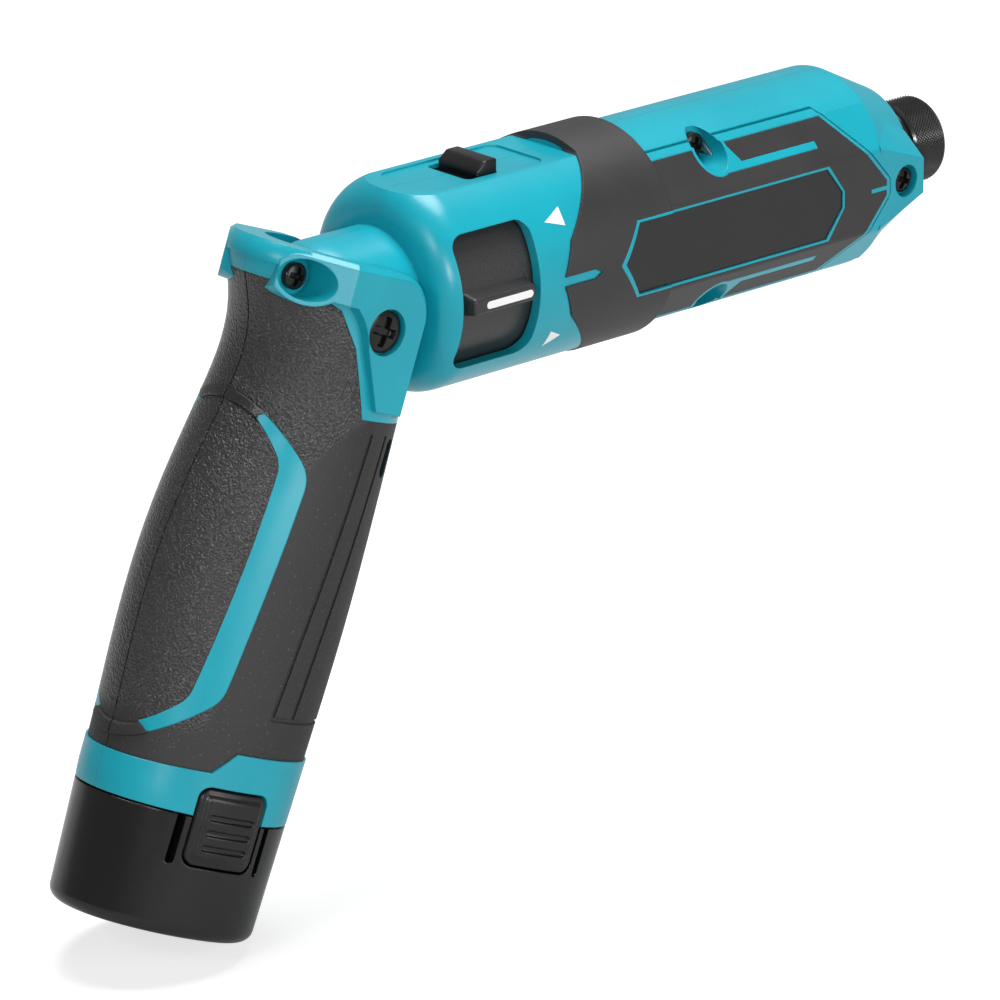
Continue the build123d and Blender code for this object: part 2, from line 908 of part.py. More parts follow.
with BuildPart() as planet_pin_set:
    with BuildSketch(Plane.YZ.offset(gear_rear_x)):
        with PolarLocations(orbit, planet_count):
            Circle(pin_r)
    extrude(amount=gear_width + gear_gap + carrier_t * 0.7)
planet_pin_set.part.label = "planet_pins"

# Spindle: carrier disc, shaft with ball seats and a pilot tip
anvil_rear_x = case_end_x - wing_gap
wing_rear_x = anvil_rear_x - dog_length
hammer_front_x = wing_rear_x - wing_gap
hammer_rear_x = hammer_front_x - hammer_length
spindle_front_x = wing_rear_x - wing_gap / 2
ball_x = hammer_front_x - hammer_travel
ball_run = hammer_travel / 2


def cam_groove(face, way, lean, run):
    """One arm of a ball groove on the spindle's side, from the ball's rest towards the front or back."""
    heading = Vector(way * cos(radians(lean)), 0, sin(radians(lean)))
    with BuildPart() as part:
        with BuildSketch(Plane(origin=(ball_x, face * spindle_r, 0), z_dir=heading)):
            Circle(cam_ball_r + running_gap)
        extrude(amount=run)
        with Locations((ball_x, face * spindle_r, 0)):
            Sphere(cam_ball_r + running_gap)
        with Locations(Vector(ball_x, face * spindle_r, 0) + heading * run):
            Sphere(cam_ball_r + running_gap)
    return part.part


with BuildPart() as spindle:
    add(ring(carrier_rear_x, carrier_front_x, 0, carrier_r))
    add(ring(carrier_front_x, spindle_front_x, 0, spindle_r))
    add(ring(spindle_front_x, spindle_front_x + spindle_tip_length, 0, spindle_tip_r))
    add(planet_pin_set.part, mode=Mode.SUBTRACT)
    for face in (1, -1):
        for lean in (-cam_lean, 0, cam_lean):
            add(cam_groove(face, -1, lean, ball_run), mode=Mode.SUBTRACT)
spindle.part.label = "spindle"

with BuildPart() as cam_balls:
    with Locations((ball_x, spindle_r, 0), (ball_x, -spindle_r, 0)):
        Sphere(cam_ball_r)
cam_balls.part.label = "cam_balls"

with BuildPart() as carrier_bearing:
    add(ring(carrier_rear_x, carrier_front_x, carrier_r + running_gap, case_bore_r))
carrier_bearing.part.label = "carrier_bearing"

# Hammer with two dogs, a spring pocket behind and ball channels in its bore
with BuildPart() as hammer:
    add(ring(hammer_rear_x, hammer_front_x, spindle_r + running_gap, hammer_r))
    pocket_inner = spring_mean_r - spring_wire_r - 0.6
    pocket_outer = spring_mean_r + spring_wire_r + 0.6
    pocket_front_x = hammer_rear_x + spring_pocket_depth
    add(ring(hammer_rear_x, pocket_front_x, pocket_inner, pocket_outer), mode=Mode.SUBTRACT)
    for middle in (90, 270):
        dog_front_x = hammer_front_x + dog_length
        add(sector(hammer_front_x, dog_front_x, dog_inner_r, hammer_r, middle, dog_angle))
    for face in (1, -1):
        for lean in (-cam_lean, 0, cam_lean):
            add(cam_groove(face, 1, lean, hammer_travel), mode=Mode.SUBTRACT)
hammer.part.label = "hammer"

with BuildPart() as hammer_spring:
    spring_rear_x = carrier_front_x + 0.05
    spring_front_x = hammer_rear_x + spring_pocket_depth - 0.05
    add(coil(spring_rear_x, spring_front_x, spring_mean_r, spring_wire_r, spring_turns))
hammer_spring.part.label = "hammer_spring"

# Anvil: two wings behind, a plain journal and the bit socket in front
anvil_step_x = -anvil_nose_length
with BuildPart() as anvil:
    for middle in (0, 180):
        add(sector(wing_rear_x, anvil_rear_x, spindle_tip_r + 1, wing_r, middle, wing_angle))
    add(ring(wing_rear_x, anvil_step_x, 0, anvil_r))
    add(ring(anvil_step_x, 0, 0, anvil_nose_r))
    pilot_depth = spindle_tip_length + wing_gap
    add(ring(wing_rear_x, wing_rear_x + pilot_depth, 0, spindle_tip_r + running_gap), mode=Mode.SUBTRACT)
    with BuildSketch(Plane.YZ.offset(-socket_depth)):
        RegularPolygon(socket_across / 2, 6, major_radius=False)
    extrude(amount=cut, mode=Mode.SUBTRACT)
    with BuildSketch(Plane.XY):
        with Locations((-detent_ball_back, 0)):
            Circle(detent_ball_r + running_gap)
    extrude(amount=cut, both=True, mode=Mode.SUBTRACT)
anvil.part.label = "anvil"

with BuildPart() as detent_balls:
    with Locations((-detent_ball_back, 0, detent_ball_orbit), (-detent_ball_back, 0, -detent_ball_orbit)):
        Sphere(detent_ball_r)
detent_balls.part.label = "detent_balls"

with BuildPart() as stop_ring:
    add(ring(-stop_ring_set - stop_ring_t, -stop_ring_set, anvil_nose_r, sleeve_bore_r - 0.3))
stop_ring.part.label = "stop_ring"

# Bit sleeve: a knurl band, a groove and a rear flange, with the lock land inside
knurl_front_x = -sleeve_front_gap
knurl_rear_x = knurl_front_x - sleeve_knurl_length
groove_rear_x = knurl_rear_x - sleeve_groove_length
sleeve_rear_x = groove_rear_x - sleeve_flange_length
land_front_x = -detent_ball_back + sleeve_travel / 2
land_rear_x = land_front_x - sleeve_travel
with BuildPart() as sleeve:
    with BuildSketch(Plane.XZ):
        with BuildLine():
            Polyline(
                (sleeve_rear_x, sleeve_bore_r),
                (sleeve_rear_x, sleeve_flange_r),
                (groove_rear_x, sleeve_r),
                (groove_rear_x + 0.4, sleeve_groove_r),
                (knurl_rear_x - 0.4, sleeve_groove_r),
                (knurl_rear_x, sleeve_r),
                (knurl_front_x - 0.5, sleeve_r),
                (knurl_front_x, sleeve_r - 0.5),
                (knurl_front_x, sleeve_bore_r),
                (land_front_x, sleeve_bore_r),
                (land_front_x, anvil_nose_r + sleeve_land_gap),
                (land_rear_x, anvil_nose_r + sleeve_land_gap),
                (land_rear_x, sleeve_bore_r),
                close=True,
            )
        make_face()
    revolve(axis=Axis.X)
sleeve.part.label = "bit_sleeve"

with BuildPart() as sleeve_spring:
    spring_end_x = -stop_ring_set - stop_ring_t - 0.05
    spring_mid_r = (anvil_nose_r + sleeve_bore_r) / 2
    add(coil(land_front_x + 0.05, spring_end_x, spring_mid_r, sleeve_wire_r, sleeve_spring_turns))
sleeve_spring.part.label = "sleeve_spring"

# Motor
can_front_x = bulk_rear_x - case_gap
bell_front_x = motor_rear_x + end_bell_t
with BuildPart() as motor_can:
    add(ring(motor_rear_x, can_front_x, motor_r - motor_can_t, motor_r))
    add(ring(can_front_x - motor_can_t, can_front_x, bearing_r, motor_r))
motor_can.part.label = "motor_can"

magnet_r = motor_r - motor_can_t
armature_front_x = can_front_x - bearing_width - 4
armature_rear_x = armature_front_x - armature_length
with BuildPart() as magnets:
    for middle in (0, 180):
        add(sector(armature_rear_x, armature_front_x, magnet_r - magnet_t, magnet_r, middle, magnet_angle))
magnets.part.label = "motor_magnets"

with BuildPart() as end_bell:
    add(ring(motor_rear_x, bell_front_x, bearing_r, magnet_r))
end_bell.part.label = "motor_end_bell"

with BuildPart() as rear_bearing:
    add(ring(motor_rear_x, bell_front_x, shaft_r + running_gap, bearing_r))
rear_bearing.part.label = "motor_rear_bearing"

with BuildPart() as front_bearing:
    add(ring(can_front_x - bearing_width, can_front_x, shaft_r + running_gap, bearing_r))
front_bearing.part.label = "motor_front_bearing"

with BuildPart() as armature:
    add(ring(armature_rear_x, armature_front_x, shaft_r, armature_r))
    with BuildSketch(Plane.YZ.offset(armature_rear_x)):
        with PolarLocations(armature_r - slot_width, armature_slots):
            SlotOverall(2.4 * slot_width, slot_width)
    extrude(amount=armature_length, mode=Mode.SUBTRACT)
armature.part.label = "armature"

commutator_rear_x = bell_front_x + 1.5
with BuildPart() as commutator:
    add(ring(commutator_rear_x, commutator_rear_x + commutator_length, shaft_r, commutator_r))
commutator.part.label = "commutator"

with BuildPart() as brushes:
    brush_x = commutator_rear_x + commutator_length / 2
    for face in (1, -1):
        with BuildSketch(Plane.XY.offset(face * (commutator_r + 0.1))):
            with Locations((brush_x, 0)):
                Rectangle(brush_width, brush_width)
        extrude(amount=face * brush_reach)
brushes.part.label = "brushes"

with BuildPart() as brush_holder:
    holder_front_x = commutator_rear_x + commutator_length
    add(ring(bell_front_x, holder_front_x, commutator_r + 1.0, magnet_r))
    for face in (1, -1):
        with BuildSketch(Plane.XY):
            with Locations((brush_x, 0)):
                Rectangle(brush_width + 0.1, brush_width + 0.1)
        extrude(amount=face * (commutator_r + 0.2 + brush_reach), mode=Mode.SUBTRACT)
brush_holder.part.label = "brush_holder"

with BuildPart() as motor_shaft:
    shaft_front_x = gear_rear_x + gear_width
    add(ring(motor_rear_x + 0.3, gear_rear_x, 0, shaft_r))
    with BuildSketch(Plane.YZ.offset(gear_rear_x)):
        with BuildLine():
            outer, inner = sun_pitch + addendum, sun_pitch - dedendum
            Polyline(*gear_outline(sun_teeth, outer, inner, 0.26, 0.62, 0), close=True)
        make_face()
    extrude(amount=gear_width)
motor_shaft.part.label = "motor_shaft"

# Switch body behind the middle wall, inside the drum
with BuildPart() as switch_body:
    with BuildSketch(Plane.YZ.offset(chamber_front_x - switch_length)):
        RectangleRounded(switch_width, switch_height, 1.5)
    extrude(amount=switch_length)
switch_body.part.label = "switch_body"

# Trigger drum with a fin on each side
with BuildPart() as trigger_drum:
    drum_rear_x = chamber_rear_x + drum_end_gap
    drum_front_x = chamber_front_x - drum_end_gap
    with BuildSketch(Plane.YZ.offset(drum_rear_x)):
        Circle(drum_r)
        Rectangle(2 * cut, 2 * drum_half, mode=Mode.INTERSECT)
    extrude(amount=drum_front_x - drum_rear_x)
    with BuildSketch(Plane.YZ.offset(drum_rear_x)):
        Circle(drum_r - drum_t)
        Rectangle(2 * cut, 2 * (drum_half - drum_t), mode=Mode.INTERSECT)
    extrude(amount=drum_front_x - drum_rear_x, mode=Mode.SUBTRACT)
    fin_x = wall_x + window_inset + fin_setback + fin_length / 2
    root = drum_r - drum_t / 2
    for face in (1, -1):
        with BuildSketch(Plane.XZ.offset(face * root)):
            with Locations((fin_x, 0)):
                RectangleRounded(fin_length, 2 * fin_root_half, fin_round)
        extrude(amount=face * (fin_reach - root), taper=fin_draft)
    tips = trigger_drum.edges().filter_by(lambda e: abs(e.center().Y) > fin_reach - 0.01)
    chamfer(tips, length=fin_chamfer)
trigger_drum.part.label = "trigger_drum"

# Lock-off slider: a knob over a flat plate under the housing's top wall
with BuildPart() as lock_slider:
    with BuildSketch(Plane.XY.offset(slider_bottom)):
        with Locations((slider_x, 0)):
            Rectangle(slider_length, 2 * slider_half)
    extrude(amount=slider_t)
    with BuildSketch(Plane.XY.offset(slider_bottom)):
        with Locations((knob_x, 0)):
            RectangleRounded(knob_length, 2 * knob_half, slot_round)
    extrude(amount=knob_top - slider_bottom)
    top = lock_slider.faces().sort_by(Axis.Z)[-1]
    fillet(top.edges(), radius=knob_round)
lock_slider.part.label = "lock_slider"

# Handle: loft, hinge ears and the hollow that lets the neck swing
with BuildPart() as ear_plate:
    with BuildSketch(handle_side):
        with BuildLine():
            back_top = side(-end_face, -ear_rise)
            back_mid = side(-rubber_top - 1.0, -ear_rise + 1.0)
            back_bend = side(4.0, -3.4)
            toe_back = side(ear_low, ear_back)
            toe_front = side(ear_low, ear_front)
            front_high = side(-end_face + ear_round, ear_front)
            top_front = side(-end_face, ear_front - ear_round)
            Line(top_front, back_top)
            Line(back_top, back_mid)
            ThreePointArc(back_mid, side(-3.2, -8.6), back_bend)
            Line(back_bend, toe_back)
            Line(toe_back, toe_front)
            Line(toe_front, front_high)
            RadiusArc(front_high, top_front, -ear_round)
        make_face()
    extrude(amount=ear_y, both=True)

with BuildPart() as neck_sweep:
    swing = radians(bend)
    far = 2 * neck_length
    with BuildSketch(handle_side):
        with BuildLine():
            slant = (far * 1.2 * sin(swing), far * 1.2 * cos(swing))
            Polyline((0, 0), (0, far), (far, far), slant, close=True)
        make_face()
    extrude(amount=ear_inner, both=True)
    with BuildSketch(across(-far)):
        Circle(ear_inner)
    extrude(amount=far)
    with BuildSketch(Plane.YZ.offset(pivot_x)):
        with Locations((0, -pivot_drop)):
            Circle(ear_inner)
    extrude(amount=far)
    with Locations(pivot):
        Sphere(ear_inner)

with BuildPart() as end_rims:
    with BuildSketch(handle_side):
        with BuildLine():
            top, low = -end_face, -rim_end
            Polyline(side(top, 0), side(low, 0), side(low, -cut), side(top, -cut), close=True)
        make_face()
    extrude(amount=cut, both=True)
    add(handle_form(-rim_proud), mode=Mode.INTERSECT)

with BuildPart() as base_collar:
    with BuildSketch(handle_side):
        with BuildLine():
            Polyline(
                side(collar_rear, -cut),
                side(collar_side, -collar_step_back),
                side(collar_front, -collar_step_front),
                side(collar_front, cut),
                side(handle_length, cut),
                side(handle_length, -cut),
                close=True,
            )
        make_face()
    extrude(amount=cut, both=True)
    add(handle_form(-collar_proud), mode=Mode.INTERSECT)

with BuildPart() as front_notch:
    with BuildSketch(handle_side):
        with BuildLine():
            round_low = side(-end_face + ear_round, ear_front)
            round_top = side(-end_face, ear_front - ear_round)
            RadiusArc(round_low, round_top, -ear_round)
            Polyline(
                round_top,
                side(-cut, ear_front - ear_round),
                side(-cut, cut),
                side(front_top, cut),
                side(front_top, ear_front),
                round_low,
            )
        make_face()
    extrude(amount=cut, both=True)

# Sloping cheek each side of the yoke, from the ear back to the rim of the screw pocket
with BuildPart() as yoke_cheeks:
    boss_r = yoke_pocket_r + yoke_pocket_rim
    with BuildSketch(handle_side):
        with Locations(side(yoke_screw_station, yoke_screw_reach)):
            Circle(boss_r)
        with Locations(side(-(end_face + yoke_cheek_low) / 2, yoke_screw_reach / 2)):
            Rectangle(-yoke_screw_reach, end_face - yoke_cheek_low)
    extrude(amount=cut, both=True)
    add(ear_plate.part)
    with BuildSketch(across(-end_face)):
        for way in (1, -1):
            with BuildLine():
                Polyline(
                    (cut, way * ear_y),
                    (yoke_slope_top, way * ear_y),
                    (yoke_slope_end, way * yoke_slope_y),
                    (yoke_slope_end + 1, way * yoke_back_y),
                    (cut, way * yoke_back_y),
                    close=True,
                )
            make_face()
    extrude(amount=cut, mode=Mode.INTERSECT)
    brow = yoke_cheeks.edges().filter_by(lambda e: abs(handle_side.to_local_coords(e.center()).Y - end_face) < 0.01)
    brow = brow.filter_by(lambda e: abs(e.center().Y) > yoke_slope_y)
    brow = brow.filter_by(lambda e: abs(e.tangent_at(0.5).Y) < 0.9)
    chamfer(brow, length=yoke_bevel)

# Where the grip rubber lies, seen from the side, with the bare stripe left out
with BuildPart() as grip_prism:
    with BuildSketch(handle_side):
        with BuildLine():
            Polyline(
                side(-rubber_top, -cut),
                side(-rubber_top, -ear_rise - 0.2),
                side(-rubber_top + 0.4, -ear_rise + 0.4),
                side(-2.0, -9.4),
                side(4.4, -4.6),
                side(ear_low + ear_rim, ear_back - ear_rim),
                side(ear_low + ear_rim, cut),
                side(collar_front, cut),
                side(collar_front, -collar_step_front),
                side(collar_side, -collar_step_back),
                side(collar_rear, -cut),
                close=True,
            )
        make_face()
    extrude(amount=cut, both=True)
    with BuildSketch(handle_side) as stripe:
        bends = (
            side(stripe_bend, stripe_bend_reach),
            side(stripe_low, stripe_low_reach),
            side(stripe_low + stripe_tail, stripe_low_reach - stripe_width),
            side(stripe_bend - stripe_tail, stripe_bend_reach - stripe_width),
        )
        with BuildLine():
            Polyline(
                side(stripe_top, stripe_tail_reach),
                bends[0],
                bends[1],
                side(stripe_end, stripe_end_reach),
                side(stripe_end - 2 * stripe_tail, stripe_end_reach - stripe_tail),
                bends[2],
                bends[3],
                side(stripe_top + stripe_tail, stripe_tail_reach - stripe_tail),
                close=True,
            )
        make_face()
        for bend_point in bends:
            fillet(stripe.vertices().sort_by_distance(bend_point)[0], radius=stripe_round)
    extrude(amount=cut, both=True, mode=Mode.SUBTRACT)

# Raised strips that carry the stripe's two tails round the back of the pad, and the seam between the halves
with BuildPart() as pad_ridges:
    with BuildSketch(handle_side):
        rise = (stripe_bend - stripe_top) / (stripe_bend_reach - stripe_tail_reach)
        run = palm_rear + stripe_tail_reach
        with BuildLine():
            Polyline(
                side(stripe_top, stripe_tail_reach),
                side(stripe_top + ridge_width, stripe_tail_reach - stripe_tail),
                side(stripe_top + ridge_width - rise * run, stripe_tail_reach - stripe_tail - run),
                side(stripe_top - rise * run, stripe_tail_reach - run),
                close=True,
            )
        make_face()
        drop = palm_rear + stripe_end_reach
        with BuildLine():
            Polyline(
                side(stripe_end, stripe_end_reach),
                side(stripe_end - ridge_width, stripe_end_reach - stripe_tail),
                side(stripe_end - ridge_width + drop, stripe_end_reach - stripe_tail - drop),
                side(stripe_end + drop, stripe_end_reach - drop),
                close=True,
            )
        make_face()
    extrude(amount=cut, both=True)
    add(handle_form(-ridge_proud), mode=Mode.INTERSECT)
    add(handle_form(ridge_proud), mode=Mode.SUBTRACT)

with BuildPart() as back_seam:
    with BuildSketch(handle_side):
        with BuildLine():
            low = handle_length
            Polyline(side(-cut, 0), side(low, 0), side(low, -cut), side(-cut, -cut), close=True)
        make_face()
    extrude(amount=seam_width / 2, both=True)
    add(handle_form(seam_deep), mode=Mode.SUBTRACT)

with BuildPart() as grip_skin:
    add(handle_outer)
    add(pad_ridges.part)
    add(grip_prism.part, mode=Mode.INTERSECT)
    add(handle_form(handle_rubber_t), mode=Mode.SUBTRACT)
    add(yoke_cheeks.part, mode=Mode.SUBTRACT)
    add(front_notch.part, mode=Mode.SUBTRACT)
    add(neck_sweep.part, mode=Mode.SUBTRACT)

# Strap recess on each cheek of the grip, and the two moulded lines beside it
with BuildPart() as strap_recess:
    for face in (1, -1):
        with BuildSketch(handle_side.offset(face * strap_floor)):
            with Locations(side(strap_station, strap_reach)):
                SlotOverall(strap_length, strap_width, rotation=90 - line_lean)
        extrude(amount=face * cut)

with BuildPart() as grip_lines:
    with BuildSketch(handle_side):
        for shift in (0, line_spread):
            reach = line_reach + shift
            with BuildLine():
                Polyline(
                    side(line_top, reach),
                    side(line_top, reach + line_width),
                    side(line_end, reach + line_width - line_lean),
                    side(line_end, reach - line_lean),
                    close=True,
                )
            make_face()
        with BuildLine():
            Polyline(
                side(line_end, line_reach - line_lean),
                side(line_end, cut),
                side(line_end + line_width, cut),
                side(line_end + line_width, line_reach - line_lean),
                close=True,
            )
        make_face()
    extrude(amount=cut, both=True)
    add(handle_outer, mode=Mode.INTERSECT)
    add(handle_form(line_deep), mode=Mode.SUBTRACT)

# Battery stem outline: two cells one behind the other
cell_pitch = 2 * (cell_r + cell_gap) + cell_web
stem_r = cell_r + cell_gap + stem_wall
stem_length = 2 * stem_r + cell_pitch


def stem(station_from, station_to, grow):
    """Battery stem between two stations, grown all round."""
    with BuildPart() as part:
        with BuildSketch(across(station_from)):
            with Locations((stem_centre, 0)):
                SlotOverall(stem_length + 2 * grow, 2 * (stem_r + grow))
        extrude(amount=station_to - station_from)
    return part.part


def button_prism(grow, low):
    """Release button outline through the whole pack, seen from the side."""
    with BuildPart() as part:
        with BuildSketch(handle_side):
            top, bottom = button_top - grow, low
            with Locations(side((top + bottom) / 2, button_reach)):
                RectangleRounded(button_width + 2 * grow, bottom - top, button_round)
        extrude(amount=cut, both=True)
    return part.part


button_core = stem(0, foot_station + cut, stem_gap + stem_wall)
terminal_top = stem_top - terminal_length - stem_gap
with BuildPart() as handle_shell:
    add(handle_outer)
    add(yoke_cheeks.part)
    add(end_rims.part)
    add(base_collar.part)
    add(front_notch.part, mode=Mode.SUBTRACT)
    add(neck_sweep.part, mode=Mode.SUBTRACT)
    add(grip_skin.part, mode=Mode.SUBTRACT)
    add(stem(terminal_top, handle_length + 5, stem_gap), mode=Mode.SUBTRACT)
    with BuildSketch(handle_side):
        Circle(hinge_pin_r)
    extrude(amount=cut, both=True, mode=Mode.SUBTRACT)
    for face in (1, -1):
        with BuildSketch(handle_side.offset(face * hinge_pin_half)):
            Circle(pivot_recess_r)
        extrude(amount=face * cut, mode=Mode.SUBTRACT)
    with BuildSketch(handle_side):
        with Locations(side(yoke_screw_station, yoke_screw_reach)):
            Circle(screw_r + screw_gap)
    extrude(amount=yoke_screw_seat, both=True, mode=Mode.SUBTRACT)
    add(strap_recess.part, mode=Mode.SUBTRACT)
    add(button_prism(button_gap, handle_length + 20).cut(button_core), mode=Mode.SUBTRACT)

with BuildPart() as handle_right:
    add(handle_shell.part)
    split(bisect_by=Plane.XZ, keep=Keep.TOP)
    with BuildSketch(handle_side.offset(yoke_screw_seat)):
        with Locations(side(yoke_screw_station, yoke_screw_reach)):
            Circle(yoke_pocket_r)
    extrude(amount=cut, mode=Mode.SUBTRACT)
handle_right.part.label = "handle_right"

with BuildPart() as handle_left:
    add(handle_shell.part)
    split(bisect_by=Plane.XZ, keep=Keep.BOTTOM)
handle_left.part.label = "handle_left"

with BuildPart() as grip_right:
    add(grip_skin.part)
    add(strap_recess.part, mode=Mode.SUBTRACT)
    add(grip_lines.part, mode=Mode.SUBTRACT)
    add(back_seam.part, mode=Mode.SUBTRACT)
    split(bisect_by=Plane.XZ, keep=Keep.TOP)
grip_right.part.label = "grip_rubber_right"

with BuildPart() as grip_left:
    add(grip_skin.part)
    add(strap_recess.part, mode=Mode.SUBTRACT)
    add(grip_lines.part, mode=Mode.SUBTRACT)
    add(back_seam.part, mode=Mode.SUBTRACT)
    split(bisect_by=Plane.XZ, keep=Keep.BOTTOM)
grip_left.part.label = "grip_rubber_left"

# Hinge pin with a threaded end each side, its two large pan head screws and the yoke screw
with BuildPart() as hinge_pin:
    with BuildSketch(handle_side):
        Circle(hinge_pin_r)
    extrude(amount=hinge_pin_half, both=True)
    for face in (1, -1):
        with BuildSketch(handle_side.offset(face * (hinge_pin_half - pivot_thread_length - 0.5))):
            Circle(pivot_thread_r + screw_gap)
        extrude(amount=face * cut, mode=Mode.SUBTRACT)
hinge_pin.part.label = "hinge_pin"

with BuildPart() as pivot_screws:
    one = pan_screw(-hinge_pin_half, pivot_thread_length, pivot_head_t, pivot_head_r, pivot_thread_r)
    right = one.moved(Location(pivot))
    add(right)
    add(right.mirror(Plane.XZ))
pivot_screws.part.label = "pivot_screws"

with BuildPart() as yoke_screw:
    one = pan_screw(-yoke_screw_seat, 2 * yoke_screw_seat - 1, screw_head_t, screw_head_r, screw_r)
    spot = handle_side.from_local_coords(Vector(*side(yoke_screw_station, yoke_screw_reach)))
    add(one.moved(Location(spot)))
yoke_screw.part.label = "yoke_screw"


def blades(station, length, grow):
    """Two flat contact blades side by side, grown all round."""
    with BuildPart() as part:
        with BuildSketch(across(station)):
            with Locations((stem_centre - blade_reach, 0), (stem_centre + blade_reach, 0)):
                Rectangle(blade_width + 2 * grow, blade_t + 2 * grow)
        extrude(amount=length)
    return part.part


# Terminal block above the battery stem, with its two blades
blade_top = stem_top + stem_cap_t - blade_gap - blade_length
with BuildPart() as terminal_blades:
    add(blades(blade_top, blade_length, 0))
terminal_blades.part.label = "terminal_blades"

with BuildPart() as terminal_block:
    add(stem(terminal_top + running_gap, terminal_top + terminal_length, 0))
    add(terminal_blades.part, mode=Mode.SUBTRACT)
terminal_block.part.label = "terminal_block"

# Battery pack
seat_station = handle_length + seat_gap
case_top = stem_top + stem_cap_t
with BuildPart() as tongue_slots:
    with BuildSketch(handle_side):
        slot_middle = (seat_station - 1 + tongue_slot_end) / 2
        for way in (1, -1):
            with Locations(side(slot_middle, button_reach + way * (button_width / 2 + tongue_slot_offset))):
                SlotOverall(tongue_slot_end - seat_station + 1, tongue_slot_width, rotation=90)
    extrude(amount=cut, both=True)
    add(battery_form(-tongue_slot_deep), mode=Mode.SUBTRACT)
    add(button_core, mode=Mode.SUBTRACT)
with BuildPart() as battery_case:
    add(battery_form(0))
    foot = battery_case.faces().sort_by(Axis(pivot, handle_down))[-1]
    fillet(foot.edges(), radius=foot_round)
    add(stem(case_top, seat_station + 1, 0))
    for offset_t in (-cell_pitch / 2, cell_pitch / 2):
        with BuildSketch(across(case_top)):
            with Locations((stem_centre + offset_t, 0)):
                Circle(cell_r + cell_gap)
        extrude(amount=cell_length + 2 * cell_gap, mode=Mode.SUBTRACT)
    pit = button_prism(button_gap, button_bottom + button_gap)
    add(pit.cut(button_core), mode=Mode.SUBTRACT)
    add(tongue_slots.part, mode=Mode.SUBTRACT)
battery_case.part.label = "battery_case"

with BuildPart() as battery_cells:
    for offset_t in (-cell_pitch / 2, cell_pitch / 2):
        with BuildSketch(across(case_top)):
            with Locations((stem_centre + offset_t, 0)):
                Circle(cell_r)
        extrude(amount=cell_length)
battery_cells.part.label = "battery_cells"

with BuildPart() as battery_cap:
    add(stem(stem_top, case_top, 0))
    add(blades(stem_top, stem_cap_t, blade_gap), mode=Mode.SUBTRACT)
battery_cap.part.label = "battery_cap"

with BuildPart() as button_back:
    add(battery_form(button_proud - rib_deep))
    add(button_prism(0, button_bottom), mode=Mode.INTERSECT)
    add(stem(0, foot_station + cut, stem_gap + stem_wall + button_press + button_gap), mode=Mode.SUBTRACT)

with BuildPart() as buttons:
    add(battery_form(button_proud))
    add(button_prism(0, button_bottom), mode=Mode.INTERSECT)
    add(stem(0, foot_station + cut, stem_gap + stem_wall + button_press + button_gap), mode=Mode.SUBTRACT)
    with BuildSketch(handle_side):
        for rib in range(rib_count):
            with Locations(side(rib_top + rib * rib_pitch, button_reach)):
                RectangleRounded(button_width - 2 * rib_inset, rib_width, rib_width * 0.45)
    extrude(amount=cut, both=True, mode=Mode.SUBTRACT)
    add(button_back.part)

with BuildPart() as button_right:
    add(buttons.part)
    split(bisect_by=Plane.XZ, keep=Keep.TOP)
button_right.part.label = "release_button_right"

with BuildPart() as button_left:
    add(buttons.part)
    split(bisect_by=Plane.XZ, keep=Keep.BOTTOM)
button_left.part.label = "release_button_left"

pieces = [
    housing_right, housing_left, rubber_right, rubber_left, rating_plate, housing_screws, nose_screws,
    hammer_case, anvil_bush, ring_gear, planet_pin_set, spindle, cam_balls, carrier_bearing, hammer,
    hammer_spring, anvil, detent_balls, stop_ring, sleeve, sleeve_spring, motor_can, magnets, end_bell,
    rear_bearing, front_bearing, armature, commutator, brushes, brush_holder, motor_shaft, switch_body,
    trigger_drum, lock_slider, handle_right, handle_left, grip_right, grip_left, hinge_pin, pivot_screws,
    yoke_screw, terminal_block, terminal_blades, battery_case, battery_cells, battery_cap,
    button_right, button_left,
]

os.makedirs("parts", exist_ok=True)
for shape in [piece.part for piece in pieces] + planets:
    export_step(shape, f"parts/{shape.label}.step")
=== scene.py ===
"""Dresses the folding impact driver: finishes, spring, knurl, screws, buttons, painted marks and studio."""

import json
import logging
import math
from collections.abc import Iterator
from dataclasses import dataclass, field
from enum import Enum
from typing import Optional, Union

import bmesh
import bpy
from mathutils import Matrix, Vector


